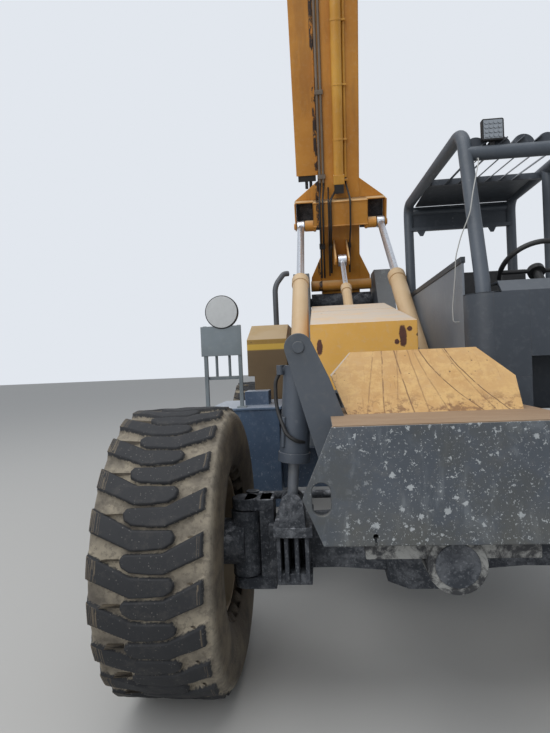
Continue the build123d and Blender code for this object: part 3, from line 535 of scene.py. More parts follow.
def mesh_data(name, mesh):
    """Turns an edited mesh into the data of an object."""
    data = bpy.data.meshes.new(name)
    mesh.to_mesh(data)
    mesh.free()
    return data


def coated(obj, material):
    """Gives a mesh its material and smooth faces."""
    obj.data.materials.append(MATERIALS[material])
    for polygon in obj.data.polygons:
        polygon.use_smooth = True


def shown(obj, material, width, body, node=None):
    """Finishes a mesh: its material, rounded edges, body and the CAD node it stands for."""
    coated(obj, material)
    sharp = math.radians(30)
    if width > 0:
        bevel = obj.modifiers.new("edges", "BEVEL")
        bevel.width = width
        bevel.segments = 2
        bevel.limit_method = "ANGLE"
        bevel.angle_limit = sharp
        bevel.harden_normals = True
    obj.data.set_sharp_from_angle(angle=sharp)
    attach(obj, body)
    if node:
        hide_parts(node)
    return obj


def soften(node):
    """A copy of a CAD node with rounded edges, which stands for it."""
    source = frame["nodes"][node]
    mesh = bmesh.new()
    mesh.from_mesh(source.data)
    bmesh.ops.remove_doubles(mesh, verts=mesh.verts, dist=2e-5)
    bmesh.ops.dissolve_limit(mesh, angle_limit=math.radians(0.8), verts=mesh.verts, edges=mesh.edges)
    obj = put(node + "_look", mesh_data(node + " look", mesh))
    return shown(obj, NODE_MATERIAL[node], 0.004, source["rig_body"], node)


# Forms drawn here in place of plainer CAD ones, in millimetres from the middle of the wheelbase

def prism(loop, by):
    """A closed solid from a flat loop of points and the way it is drawn out."""
    count = len(loop)
    top = [tuple(a + b for a, b in zip(point, by)) for point in loop]
    faces = [tuple(reversed(range(count))), tuple(range(count, 2 * count))]
    for k in range(count):
        nxt = (k + 1) % count
        faces.append((k, nxt, count + nxt, count + k))
    return list(loop) + top, faces


def plate_x(outline, x0, x1):
    return prism([(x0, y, z) for y, z in outline], (x1 - x0, 0, 0))


def plate_y(outline, y0, y1):
    return prism([(x, y0, z) for x, z in outline], (0, y1 - y0, 0))


def plate_z(outline, z0, z1):
    return prism([(x, y, z0) for x, y in outline], (0, 0, z1 - z0))


def block(x0, x1, y0, y1, z0, z1):
    return plate_z([(x0, y0), (x1, y0), (x1, y1), (x0, y1)], z0, z1)


def rounded(points, bend, steps=6):
    """A line of points with its corners rounded off."""
    out = [Vector(points[0])]
    for a, b, c in zip(points, points[1:], points[2:]):
        a, b, c = Vector(a), Vector(b), Vector(c)
        reach = min(bend, 0.45 * (a - b).length, 0.45 * (c - b).length)
        start = b + (a - b).normalized() * reach
        end = b + (c - b).normalized() * reach
        for k in range(steps + 1):
            t = k / steps
            out.append(start * (1 - t) ** 2 + b * (2 * t * (1 - t)) + end * t ** 2)
    out.append(Vector(points[-1]))
    return out


def tube(points, radius, sides=24):
    """A round bar along a line of points."""
    points = [Vector(p) for p in points]
    ways = [(b - a).normalized() for a, b in zip(points, points[1:])]
    across = ways[0].orthogonal().normalized()
    vertices = []
    for k, point in enumerate(points):
        way = (ways[max(0, k - 1)] + ways[min(k, len(ways) - 1)]).normalized()
        across = (across - way * across.dot(way)).normalized()
        up = way.cross(across)
        for j in range(sides):
            a = 2 * math.pi * j / sides
            vertices.append(tuple(point + (across * math.cos(a) + up * math.sin(a)) * radius))
    faces = [tuple(reversed(range(sides))), tuple(range(len(vertices) - sides, len(vertices)))]
    for k in range(len(points) - 1):
        for j in range(sides):
            n = (j + 1) % sides
            faces.append((k * sides + j, k * sides + n, (k + 1) * sides + n, (k + 1) * sides + j))
    return vertices, faces


def rod(start, end, radius, sides=32):
    return tube([start, end], radius, sides)


def rod_x(x0, x1, y, z, radius):
    return rod((x0, y, z), (x1, y, z), radius)


def rod_y(y0, y1, x, z, radius, sides=32):
    return rod((x, y0, z), (x, y1, z), radius, sides)


def rod_z(z0, z1, x, y, radius):
    return rod((x, y, z0), (x, y, z1), radius)


def arc_points(cx, cz, radius, start, end, steps):
    """Points round a corner, angles in degrees."""
    angles = [math.radians(start + (end - start) * k / steps) for k in range(steps + 1)]
    return [(cx + radius * math.cos(a), cz + radius * math.sin(a)) for a in angles]


def beside(side, near, far):
    """The low and the high x of something between two distances to one side of the middle."""
    return sorted((side * near, side * far))


def boom_at(s, n):
    """The (y, z) of a point s along the boom and n above its middle line."""
    a = math.radians(BOOM_ANGLE)
    y, z = BOOM_FOOT
    return y - s * math.cos(a) + n * math.sin(a), z + s * math.sin(a) + n * math.cos(a)


def boom_point(s, n, x):
    return (BOOM_X + x, *boom_at(s, n))


def boom_plate(outline, x0, x1):
    return plate_x([boom_at(s, n) for s, n in outline], BOOM_X + x0, BOOM_X + x1)


def boom_block(s0, s1, n0, n1, x0, x1):
    return boom_plate([(s0, n0), (s1, n0), (s1, n1), (s0, n1)], x0, x1)


def boom_wide(s0, s1, n0, n1, half):
    return boom_block(s0, s1, n0, n1, -half, half)


def boom_sheet(outline, n0, n1):
    """A plate parallel to the boom's underside, from (x, s) points."""
    low, high = boom_at(0, n0), boom_at(0, n1)
    return prism([boom_point(s, n0, x) for x, s in outline], (0, high[0] - low[0], high[1] - low[1]))


def boom_rod(s0, s1, n, x, radius):
    """A round bar along the boom."""
    return rod(boom_point(s0, n, x), boom_point(s1, n, x), radius)


def boom_pin(place, x0, x1, radius):
    """A round bar across the boom at an (s, n) place."""
    return rod(boom_point(*place, x0), boom_point(*place, x1), radius)


def joined(name, solids):
    """One piece out of closed solids, moved to the frame's origin and turned to metres."""
    mesh = bmesh.new()
    for vertices, faces in solids:
        made = [mesh.verts.new((x / 1000, y / 1000 + MID_Y, z / 1000)) for x, y, z in vertices]
        for face in faces:
            mesh.faces.new([made[k] for k in face])
    bmesh.ops.recalc_face_normals(mesh, faces=mesh.faces)
    return put(name, mesh_data(name, mesh))


def carved(obj, tool, kind="DIFFERENCE"):
    """Cuts one mesh by another, which is then removed."""
    cut = obj.modifiers.new("cut", "BOOLEAN")
    cut.operation = kind
    cut.solver = "EXACT"
    cut.use_self = True
    cut.object = tool
    bpy.context.view_layer.update()
    shape = bpy.data.meshes.new_from_object(obj.evaluated_get(bpy.context.evaluated_depsgraph_get()))
    obj.modifiers.clear()
    obj.data = shape
    bpy.data.objects.remove(tool)
    return obj


def dress(name, solids, material, body, node=None, width=0.004, cut=None, keep=None):
    """A piece of closed solids on a body, standing for a CAD node where one is named."""
    obj = joined(name, solids)
    if cut:
        carved(obj, joined(name + " cut", cut))
    if keep:
        carved(obj, joined(name + " keep", keep), "INTERSECT")
    return shown(obj, material, width, body, node)


def stands(name, solids, material, **more):
    """A piece that stands for the CAD node of the same name."""
    DRAWN.add(name)
    return dress(name + "_look", solids, material, frame["nodes"][name]["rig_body"], name, **more)


# The boom: its line, its section, its cross member's reach, and its pins as (s, n)
BOOM_X, BOOM_ANGLE, BOOM_FOOT = -180, 66, (1823, 2304)
BOOM_HALF, BOOM_LOW, BOOM_HIGH, BOOM_WALL = 210, 20, 550, 10
BOOM_REAR, OUTER_END = -320, 4660
COLLAR_S, COLLAR = OUTER_END - 120, 20
PIVOT = (1900, 2130)
EXTEND_START, EXTEND_N, EXTEND_R = 1070, -32, 50
CROSS_LOW, CROSS_HIGH, CROSS_FOOT, CROSS_N = 680, 925, 610, -215
CROSS_IN, CROSS_OUT, SHEET, CROSS_TOP = 264, 450, 12, BOOM_LOW + 8
LIFT_PIN, SLAVE_PIN = (690, -150), (370, -400)
LIFT_X = 407
TUBE_HALF = 330
DRAWN = set()

# Boom, outer section: four walls and a rear cap, pivot tube, cross member, roofs and lugs
boom = [
    boom_wide(BOOM_REAR, OUTER_END, BOOM_LOW, BOOM_LOW + BOOM_WALL, BOOM_HALF),
    boom_wide(BOOM_REAR + 40, OUTER_END, BOOM_HIGH - BOOM_WALL, BOOM_HIGH, BOOM_HALF),
    boom_wide(BOOM_REAR, BOOM_REAR + 200, BOOM_LOW, BOOM_HIGH, BOOM_HALF - 1),
    boom_wide(COLLAR_S, OUTER_END, BOOM_LOW, BOOM_LOW - 12, BOOM_HALF + COLLAR),
    boom_wide(COLLAR_S, OUTER_END, BOOM_HIGH, BOOM_HIGH + COLLAR, BOOM_HALF + COLLAR),
    rod_x(BOOM_X - TUBE_HALF, BOOM_X + TUBE_HALF, *BOOM_FOOT, 58),
    boom_wide(CROSS_HIGH - SHEET, CROSS_HIGH, -120, CROSS_TOP, CROSS_OUT + SHEET),
    boom_wide(CROSS_HIGH - SHEET, CROSS_HIGH, CROSS_N - 8, CROSS_TOP, CROSS_IN + SHEET),
    boom_wide(CROSS_LOW, CROSS_LOW + SHEET, CROSS_N - 8, CROSS_TOP, CROSS_IN + SHEET),
    boom_wide(CROSS_LOW, CROSS_HIGH, CROSS_N, CROSS_N + SHEET, CROSS_IN + SHEET),
]
slave_s, slave_n = SLAVE_PIN
slave_lug = [(slave_s + s, n) for s, n in (
    (-130, BOOM_LOW), (130, BOOM_LOW), (46, slave_n), (32, slave_n - 36), (0, slave_n - 48),
    (-32, slave_n - 36), (-46, slave_n))]
boom += [boom_plate(slave_lug, x, x + 18) for x in (-75, 57)]
side_wall = [(BOOM_REAR, BOOM_LOW), (OUTER_END, BOOM_LOW), (OUTER_END, BOOM_HIGH),
             (BOOM_REAR + 60, BOOM_HIGH), (BOOM_REAR, BOOM_HIGH - 80)]
edge_x = BOOM_HALF - 1
foot_gusset = [(edge_x, 330), (320, 95), (326, 0), (edge_x, 0)]
cross_roof = [(edge_x, CROSS_HIGH + 190), (CROSS_OUT + SHEET, CROSS_HIGH), (edge_x, CROSS_HIGH)]
pin_s, pin_n = LIFT_PIN
pin_cheek = [(pin_s - 60, -160), (pin_s - 40, -200), (CROSS_LOW + 60, CROSS_N), (CROSS_LOW + 60, -60),
             (pin_s - 60, -60)]
for side in (-1, 1):
    boom += [
        boom_plate(side_wall, *beside(side, BOOM_HALF, BOOM_HALF - BOOM_WALL)),
        boom_block(COLLAR_S, OUTER_END, BOOM_LOW - 12, BOOM_HIGH + COLLAR,
                   *beside(side, BOOM_HALF, BOOM_HALF + COLLAR)),
        boom_sheet([(side * x, s) for x, s in foot_gusset], BOOM_LOW, BOOM_LOW + 16),
        boom_sheet([(side * x, s) for x, s in cross_roof], BOOM_LOW, BOOM_LOW + SHEET),
    ]
    for x, foot in ((CROSS_IN, CROSS_LOW), (CROSS_OUT, CROSS_FOOT + 40)):
        rib = [(foot, pin_n - 40), (foot + 30, CROSS_N), (CROSS_HIGH, CROSS_N), (CROSS_HIGH, BOOM_LOW + 4),
               (foot, BOOM_LOW + 4)]
        boom.append(boom_plate(rib, *beside(side, x, x + SHEET)))
    boom += [
        boom_pin(LIFT_PIN, side * CROSS_IN, side * (LIFT_X - 42), 55),
        boom_pin(LIFT_PIN, side * (LIFT_X + 40), side * (CROSS_OUT + 26), 32),
        boom_plate(pin_cheek, *beside(side, CROSS_IN - 14, CROSS_IN + SHEET)),
    ]
stands("boom_outer", boom, "boom")
# Painted shade: a dark sheet in the dark axle material fills the cross member's open ends, standing for the
# shadow in those pockets.
dress("cross_pocket_painted_shade", [
    boom_block(CROSS_FOOT + 4, CROSS_HIGH - 13, BOOM_LOW - 6, BOOM_LOW + 3,
               *beside(side, BOOM_HALF + 1, CROSS_OUT - 1))
    for side in (-1, 1)
], "axle", "boom_outer", width=0)
dress("boom_pivot_tube", [rod_x(BOOM_X - TUBE_HALF, BOOM_X + TUBE_HALF, *PIVOT, 95)], "axle", "boom_outer")

# Hose box on the boom's side, with the guide below it
stands("hose_track_cover", [
    boom_block(EXTEND_START + 90, OUTER_END - 150, 110, 350, -BOOM_HALF - 222, -BOOM_HALF),
], "boom")
GUIDE_N = 160
dress("hose_guide", [
    boom_block(EXTEND_START + 30, EXTEND_START + 91, 130, 330, -BOOM_HALF - 205, -BOOM_HALF - 20),
    *[boom_rod(EXTEND_START - 45, EXTEND_START + 31, GUIDE_N, -BOOM_HALF - x, 16) for x in (120, 75)],
], "hose", "boom_outer")

# Extension cylinder with its bands, and the pipe beside it
SIDE_PIPE_X, SIDE_PIPE_N = 68, BOOM_LOW - 16
extension = [
    boom_rod(EXTEND_START + 10, OUTER_END + 110, EXTEND_N, 0, EXTEND_R),
    boom_wide(EXTEND_START, EXTEND_START + 90, EXTEND_N - 55, BOOM_LOW, 55),
    boom_rod(EXTEND_START + 60, 4000, SIDE_PIPE_N, SIDE_PIPE_X, 14),
]
for s in (1100, 1480, 1960, 2480, 3100, 3800):
    extension.append(boom_rod(s, s + 16, EXTEND_N, 0, EXTEND_R + 4))
    extension.append(boom_block(s, s + 16, EXTEND_N - 10, BOOM_LOW, 30, 88))
stands("extension_barrel", extension, "extension", width=0.002)

# Steel pipes with their clamps, and the hoses that carry on from them over the cross member
PIPES_X, PIPE_N = (-192, -156), BOOM_LOW - 13
pipes = [boom_rod(EXTEND_START + 20, OUTER_END - 300, PIPE_N, x, 12.5) for x in PIPES_X]
for s in (EXTEND_START + 60, 1900, 2720, 3560):
    pipes.append(boom_block(s, s + 40, BOOM_LOW - 34, BOOM_LOW, -214, -134))
dress("boom_pipes", pipes, "pipe", "boom_outer", width=0.002)
over_n = CROSS_N - 30
hoses = [boom_wide(CROSS_HIGH + 60, EXTEND_START - 1, BOOM_LOW - 125, BOOM_LOW, 46)]
# Each hose's x on the way down, the x, height and s of its upper end, the s of its lower end, its radius
for x, high_x, high_n, high_s, low_s, radius in (
    (-206, PIPES_X[0], PIPE_N, EXTEND_START + 20, 100, 10),
    (-176, PIPES_X[1], PIPE_N, EXTEND_START + 20, 100, 10),
    (-118, -110, BOOM_LOW - 30, CROSS_HIGH + 120, 120, 8),
    (-98, -35, BOOM_LOW - 60, EXTEND_START - 15, 150, 11),
    (98, SIDE_PIPE_X, SIDE_PIPE_N, EXTEND_START + 60, 150, 9),
):
    route = [boom_point(*place) for place in (
        (high_s, high_n, high_x), (high_s - 45, high_n, high_x), (CROSS_HIGH + 20, over_n, x),
        (CROSS_LOW - 20, over_n, x), (CROSS_LOW - 200, BOOM_LOW - 100, x), (low_s, BOOM_LOW - 50, x))]
    hoses.append(tube(rounded(route, 50), radius, 16))
for x0, x1 in ((-222, -160), (-112, -84), (84, 112)):
    hoses.append(boom_block(CROSS_LOW - 250, CROSS_LOW - 214, BOOM_LOW - 112, BOOM_LOW, x0, x1))
dress("boom_hoses", hoses, "hose", "boom_outer", width=0)

# Front plate with its slots and keyhole, in front of the frame's own, and the box's top
PLATE_FACE, PLATE_HALF, PLATE_TOP = -2249, 420, 1252
BOX_END = -1560
plate = [(-462, 844), (462, 844), (530, 1006), (PLATE_HALF, PLATE_TOP), (-PLATE_HALF, PLATE_TOP),
         (-530, 1006)]
keyhole = arc_points(-286, 876, 9, -70, 250, 12) + [(-289, 830), (-283, 830)]
slots = [arc_points(x, 1031, 32, 0, 180, 10) + arc_points(x, 981, 32, 180, 360, 10) for x in (-464, 464)]
dress("front_plate", [plate_y(plate, PLATE_FACE, PLATE_FACE + 22)], "frame", "chassis",
      cut=[plate_y(hole, PLATE_FACE - 20, PLATE_FACE + 60) for hole in (*slots, keyhole)])
dress("box_top", [block(-418, 418, PLATE_FACE + 4, BOX_END, 1242, PLATE_TOP)], "frame", "chassis")

# Front cover with one long sloping face
cover = [(-345, 1250), (-402, 1405), (-306, 1510), (262, 1510), (378, 1380), (350, 1250)]
slope = [(-1872, 1240), (-1872, 1251), (-1565, 1512), (-1450, 1512), (-1450, 1240)]
stands("front_cover", [plate_y(cover, -1880, -1450)], "cover", keep=[plate_x(slope, -500, 500)])

# Middle cover, open towards the rear, on its floor
COVER_FRONT, COVER_REAR, COVER_LEFT, COVER_RIGHT, COVER_SHEET = -955, 500, 120, -500, 6
COVER_LOW_Z, COVER_HIGH_Z, COVER_FOOT, FLOOR_FOOT = 1690, 1945, 1530, 1280
top = [(COVER_FRONT, COVER_LOW_Z - COVER_SHEET), (COVER_FRONT, COVER_LOW_Z), (COVER_REAR, COVER_HIGH_Z),
       (COVER_REAR, COVER_HIGH_Z - COVER_SHEET)]
wall = [(COVER_FRONT, COVER_FOOT), (COVER_FRONT, COVER_LOW_Z), (COVER_REAR, COVER_HIGH_Z),
        (COVER_REAR, COVER_FOOT)]
stands("mid_cover", [
    plate_x(top, COVER_RIGHT, COVER_LEFT), plate_x(wall, COVER_RIGHT, COVER_RIGHT + COVER_SHEET),
    plate_x(wall, COVER_LEFT - COVER_SHEET, COVER_LEFT),
    block(COVER_RIGHT, COVER_LEFT, COVER_FRONT, COVER_FRONT + COVER_SHEET, FLOOR_FOOT + 20, COVER_LOW_Z),
], "middle")
dress("cover_floor", [
    block(x0, x1, COVER_FRONT, COVER_REAR, z0, z1) for x0, x1, z0, z1 in (
        (COVER_RIGHT - 5, COVER_LEFT + 5, FLOOR_FOOT, FLOOR_FOOT + 20),
        (COVER_RIGHT - 5, COVER_RIGHT + 5, FLOOR_FOOT + 20, COVER_FOOT),
        (COVER_LEFT - 5, COVER_LEFT + 5, FLOOR_FOOT + 20, COVER_FOOT))
], "frame", "chassis")

# Mirror on its frame: the panel, the two posts with their feet, the bars and the round glass
MIRROR_Y, MIRROR_X, MIRROR_Z, MIRROR_TOP = -680, -1068, 1816, 1719
POSTS_X, POST_FOOT = (-1186, -962), 1190
mirror = [
    block(-1212, -948, MIRROR_Y - 18, MIRROR_Y - 12, 1534, 1726),
    block(*POSTS_X, MIRROR_Y + 6, MIRROR_Y + 12, 1380, 1400),
    rod_z(1722, 1800, MIRROR_X, MIRROR_Y, 8), rod_x(-1181, -967, MIRROR_Y, MIRROR_TOP, 9),
]
for x in POSTS_X:
    mirror.append(block(x - 12, x + 12, MIRROR_Y - 12, MIRROR_Y + 12, POST_FOOT, 1730))
    mirror.append(block(x - 30, x + 30, MIRROR_Y - 30, MIRROR_Y + 30, POST_FOOT, POST_FOOT + 14))
mirror += [rod_z(1395, 1560, x, MIRROR_Y + 18, 9) for x in (-1120, -1035)]
stands("mirror", mirror, "galvanised", width=0.002)
dress("mirror_rim", [rod_y(MIRROR_Y - 24, MIRROR_Y + 8, MIRROR_X, MIRROR_Z, 108, 48)], "black", "chassis")
# The round glass, whose pale grey material is a painted reflection.
dress("mirror_glass", [rod_y(MIRROR_Y - 27, MIRROR_Y - 22, MIRROR_X, MIRROR_Z, 102, 48)], "glass",
      "chassis")

# Exhaust
exhaust = [(-805, 420, 1760), (-805, 420, 2130), (-730, 470, 2235), (-690, 490, 2240)]
stands("exhaust_pipe", [tube(rounded(exhaust, 60), 23)], "exhaust", width=0)

# The leaning sway cylinder between the sway arm's plates, with its hose
SWAY_Y, SWAY_TOP, SWAY_LOW = -1815, (-535, 1535), (-592, 880)
SWAY_LENGTH = math.hypot(SWAY_LOW[0] - SWAY_TOP[0], SWAY_LOW[1] - SWAY_TOP[1])


def sway_point(distance, y=SWAY_Y):
    """A point down the leaning sway cylinder, counted from its top pin."""
    along = Vector((SWAY_LOW[0] - SWAY_TOP[0], 0, SWAY_LOW[1] - SWAY_TOP[1])).normalized() * distance
    return SWAY_TOP[0] + along.x, y, SWAY_TOP[1] + along.z


PORT_X, PORT_Y = -616, SWAY_Y - 20
stands("sway_barrel", [
    rod(sway_point(0, SWAY_Y - 79), sway_point(0, SWAY_Y + 79), 54), rod(sway_point(30), sway_point(85), 40),
    rod(sway_point(75), sway_point(460), 62, 48), rod(sway_point(440), sway_point(480), 68, 48),
    rod((PORT_X, PORT_Y, 1452), (-575, SWAY_Y - 10, 1440), 16), rod_z(1466, 1425, PORT_X, PORT_Y, 17),
    rod((-608, SWAY_Y - 45, 1250), (-617, SWAY_Y - 45, 1125), 9),
], "sway", width=0.002)
sway_hose = [(x, SWAY_Y + y, z) for x, y, z in (
    (PORT_X, -20, 1440), (-640, -20, 1400), (-641, -26, 1290), (-600, -72, 1180), (-560, -74, 1152),
    (-530, -40, 1142))]
dress("sway_hose", [tube(rounded(sway_hose, 60), 8, 16)], "hose", "chassis", width=0)
stands("sway_rod", [
    rod(sway_point(280), sway_point(SWAY_LENGTH), 23),
    rod(sway_point(SWAY_LENGTH, SWAY_Y - 28), sway_point(SWAY_LENGTH, SWAY_Y + 28), 40),
], "worn", width=0.002)

# Main frame: its cross pieces, the sway arm, the slave cylinder's bracket, then what stands on both sides
RAIL_X, AXLE_Y, AXLE_Z, TRUNNION_Z = 300, -1575, 640, 700
HUB_Z, HUB_R = TRUNNION_Z + 42, 105
SLAVE_BASE, LIFT_BASE = (-115, 1450), (-740, 1250)
TOWER_FOOT, TOWER_END = 1150, 2250
rail = [(-2225, 846), (-1900, 900), (-1130, 900), (-1000, 620), (900, 620), (1080, 900), (2040, 900),
        (2150, 800), (2150, 1300), (-1300, 1300), (-1420, 1235), (-2225, 1235)]
arm = arc_points(*SWAY_TOP, 58, 196, 20, 12)
arm += [(-414, 1405), (-360, 1248), (-302, 1230), (-302, 1060), (-466, 1060)]
bracket = [(-205, 1180), (-45, 1180)] + arc_points(*SLAVE_BASE, 52, 0, 180, 8)
frame_parts = [block(*sizes) for sizes in (
    (-415, 415, -2227, BOX_END, 1230, 1245), (-RAIL_X, RAIL_X, -2225, -1900, 846, 866),
    (-RAIL_X, RAIL_X, -1875, -1855, 866, 1235), (-RAIL_X, RAIL_X, -1230, -1090, 900, 960),
    (-700, RAIL_X, -870, -600, 960, 1080), (-RAIL_X, RAIL_X, -960, 0, 620, 640),
    (-RAIL_X, RAIL_X, 60, 200, 1150, 1300), (-RAIL_X, RAIL_X, -240, 60, 1150, 1190),
)]
frame_parts += [plate_y(arm, SWAY_Y + y, SWAY_Y + y + 20) for y in (-100, 80)]
frame_parts.append(rod_y(SWAY_Y - 108, SWAY_Y + 100, *SWAY_TOP, 25))
frame_parts += [rod_x(BOOM_X + x, BOOM_X + x + 159, *PIVOT, 50) for x in (-490, 331)]
frame_parts += [block(*sizes) for sizes in (
    (-700, 330, 950, 1150, TOWER_FOOT, 1300), (-700, 330, 2050, TOWER_END, TOWER_FOOT, 1300),
    (-690, 330, 2220, TOWER_END, 1300, 1700), (-725, -RAIL_X, 60, 200, 1150, 1230),
    (-725, -RAIL_X, 560, 700, 1150, 1230), (RAIL_X, 400, -700, -560, 1040, 1130),
    (RAIL_X, 400, -200, -60, 1040, 1130),
)]
frame_parts += [plate_x(bracket, BOOM_X + x, BOOM_X + x + 18) for x in (-62, 44)]
frame_parts.append(rod_x(BOOM_X - 62, BOOM_X + 62, *SLAVE_BASE, 24))
cheek = [(-850, 1040), (-630, 1040)] + arc_points(*LIFT_BASE, 80, 0, 180, 10)
tower_front = [(950, TOWER_FOOT), (950, 1500), (1523, 2274), (1643, 2424)]
tower = tower_front + [(1973, 2424), (2113, 2304), (TOWER_END, 1950), (TOWER_END, TOWER_FOOT)]
tower_web = tower_front + [(y + 14, z - 4) for y, z in reversed(tower_front)]
for side in (-1, 1):
    frame_parts.append(plate_x(rail, *beside(side, RAIL_X, RAIL_X + 30)))
    x = BOOM_X + side * LIFT_X
    frame_parts += [plate_x(cheek, x - 90, x - 70), plate_x(cheek, x + 70, x + 90)]
    frame_parts.append(rod_x(x - 92, x + 92, *LIFT_BASE, 35))
    for outline, near, far in ((tower, 345, 359), (tower, 505, 519), (tower_web, 350, 510)):
        frame_parts.append(plate_x(outline, *sorted((BOOM_X + side * near, BOOM_X + side * far))))
for y0, y1, top in ((-2150, -2010, 856), (-1220, -1110, 905)):
    frame_parts.append(rod_y(y0 - 12, y0, 0, HUB_Z, HUB_R))
    hanger = [(-315, top), (-315, 762), (-HUB_R, 762), (-HUB_R, HUB_Z)]
    hanger += arc_points(0, HUB_Z, HUB_R, 180, 360, 16) + [(HUB_R, 762), (290, 762), (290, top)]
    frame_parts.append(plate_y(hanger, y0, y1))
stands("main_frame", frame_parts, "frame")
dress("trunnion_ring", [rod_y(-2168, -2161, 0, HUB_Z, 78, 40)], "axle", "chassis", width=0.002)

# Front axle with its yokes, steering cylinder and the sway cylinder's bracket
low, high = AXLE_Z - 100, AXLE_Z + 100
beam = [(-715, low), (-400, low + 5), (-200, low - 10), (200, low - 10), (400, low + 5), (715, low),
        (715, high), (400, high + 15), (200, high + 30), (-200, high + 30), (-400, high + 15), (-715, high)]
bulge = [(-190, -110), (-110, -190), (110, -190), (190, -110), (190, 110), (110, 140), (-110, 140),
         (-190, 110)]
STEER_Y, KINGPIN_X, YOKE_LOW, YOKE_HIGH = AXLE_Y + 165, 830, 432, 848
seat_x = SWAY_LOW[0]
ear = [(seat_x - 56, 788), (seat_x + 56, 788)] + arc_points(*SWAY_LOW, 50, 0, 180, 10)
axle = [
    plate_y(beam, AXLE_Y - 95, AXLE_Y + 95), plate_z([(x, AXLE_Y + y) for x, y in bulge], 485, 795),
    rod_x(-230, 230, STEER_Y, 811, 45),
    block(-200, -150, AXLE_Y + 60, STEER_Y, 730, 800), block(150, 200, AXLE_Y + 60, STEER_Y, 730, 800),
    rod_y(-2144, AXLE_Y - 150, 0, TRUNNION_Z, 64), rod_y(AXLE_Y + 100, -1100, 0, TRUNNION_Z, 64),
    block(seat_x - 83, seat_x + 83, SWAY_Y - 60, AXLE_Y + 60, 747, 790),
    block(seat_x - 74, seat_x + 74, SWAY_Y - 30, AXLE_Y + 60, 540, 588),
    plate_y(ear, SWAY_Y - 55, SWAY_Y - 33), plate_y(ear, SWAY_Y + 33, SWAY_Y + 55),
]
axle += [block(seat_x + x, seat_x + x + 18, SWAY_Y - 45, AXLE_Y - 90, 560, 760) for x in (-72, -39, 4, 48)]
for side in (-1, 1):
    axle.append(block(*beside(side, 690, 758), AXLE_Y - 60, AXLE_Y + 60, YOKE_LOW, YOKE_HIGH))
    axle.append(rod_x(side * 640, side * 668, AXLE_Y, AXLE_Z, 130))
    for z in (YOKE_LOW, YOKE_HIGH - 52):
        axle.append(block(*beside(side, 700, KINGPIN_X), AXLE_Y - 62, AXLE_Y + 62, z, z + 52))
        axle.append(rod_z(z, z + 52, side * KINGPIN_X, AXLE_Y, 62))
stands("front_axle", axle, "axle")

# Cab: its corners, its sheet and its posts
CAB_IN, CAB_OUT, CAB_FRONT, CAB_REAR, CORNER_R = 310, 1198, -1330, 420, 118
FLOOR_Z, SHELF_Z, ARCH_X, ARCH_Z, ARCH_Y = 1150, 1345, 600, 1455, -740
SILL_Z, LEDGE_Z, ROOF_Z, POST_R = 1965, 1787, 2730, 38
POST_IN, POST_OUT, REAR_IN = CAB_IN + 88, CAB_OUT - POST_R, CAB_IN + 26
FLOOR_IN, FLOOR_OUT, FLOOR_END, CAB_SHEET = 340, 1190, CAB_REAR + 38, 12
INSIDE_Y, SILL_Y, CORNER_X = CAB_FRONT + CAB_SHEET, CAB_FRONT + CORNER_R, CAB_IN + CORNER_R
BAR_Y, BAR_Z = -1050, ROOF_Z - 150
SHELF_TOP = SHELF_Z + 10
arch_in, arch_top = ARCH_X - CAB_SHEET, ARCH_Z + CAB_SHEET
stands("cab_floor", [block(*sizes) for sizes in (
    (FLOOR_IN, FLOOR_OUT, ARCH_Y, FLOOR_END, 1130, FLOOR_Z),
    (FLOOR_IN, ARCH_X, INSIDE_Y, ARCH_Y, 1130, FLOOR_Z),
    (arch_in, ARCH_X, INSIDE_Y, ARCH_Y, FLOOR_Z, ARCH_Z),
    (arch_in, FLOOR_OUT, INSIDE_Y, ARCH_Y, ARCH_Z, arch_top),
    (arch_in, FLOOR_OUT, ARCH_Y - CAB_SHEET, ARCH_Y, FLOOR_Z - 10, ARCH_Z),
    (FLOOR_IN, FLOOR_IN + 10, INSIDE_Y, FLOOR_END, FLOOR_Z, SHELF_Z),
    (CAB_IN, FLOOR_IN + 10, SILL_Y, FLOOR_END, SHELF_Z, SHELF_TOP),
)], "cab")

# Hoops, the middle post, the bars across
hoops = []
for front_x, rear_x, foot in ((POST_IN, REAR_IN, FLOOR_Z), (POST_OUT, POST_OUT, arch_top)):
    hoop = [(front_x, -1275, foot), (front_x, -1275, LEDGE_Z), (front_x, -1010, ROOF_Z - 10),
            (rear_x, CAB_REAR, ROOF_Z), (rear_x, CAB_REAR, SHELF_TOP)]
    hoops.append(tube(rounded(hoop, 105, 10), POST_R, 40))
stands("cab_frame", hoops + [
    rod_z(FLOOR_Z, ROOF_Z - 3, POST_OUT, -280, POST_R - 2), rod_x(POST_IN, POST_OUT, BAR_Y, BAR_Z, POST_R),
    rod_x(REAR_IN + 20, POST_OUT, CAB_REAR, ROOF_Z - 60, 25), rod_x(REAR_IN, POST_OUT, CAB_REAR, 1600, 25),
    rod_z(FLOOR_Z, 1600, POST_OUT, CAB_REAR, POST_R),
], "tube", width=0)

# Roof plate, slats and the humps over the front bar
PLATE_Y, SLAT_Z = -215, BAR_Z + POST_R - 6
guard = [block(REAR_IN + 60, POST_OUT - 20, PLATE_Y, CAB_REAR, ROOF_Z - 12, ROOF_Z - 2),
         block(REAR_IN + 60, POST_OUT - 20, PLATE_Y, PLATE_Y + 30, ROOF_Z - 45, ROOF_Z - 10)]
for k in range(6):
    x = POST_IN + 75 + k * 92
    strip = [(x + dx, BAR_Y - 14, SLAT_Z + dz) for dx, dz in ((0, 0), (6, 0), (62, 40), (56, 46))]
    guard.append(prism(strip, (0, PLATE_Y + 20 - BAR_Y, ROOF_Z - 50 - SLAT_Z)))
for k in range(4):
    hump = arc_points(POST_IN + 60 + k * 128, SLAT_Z, 62, 0, 180, 14)
    guard.append(plate_y(hump, BAR_Y + 10, BAR_Y + 60))
stands("cab_roof_guard", guard, "roof", width=0.002)

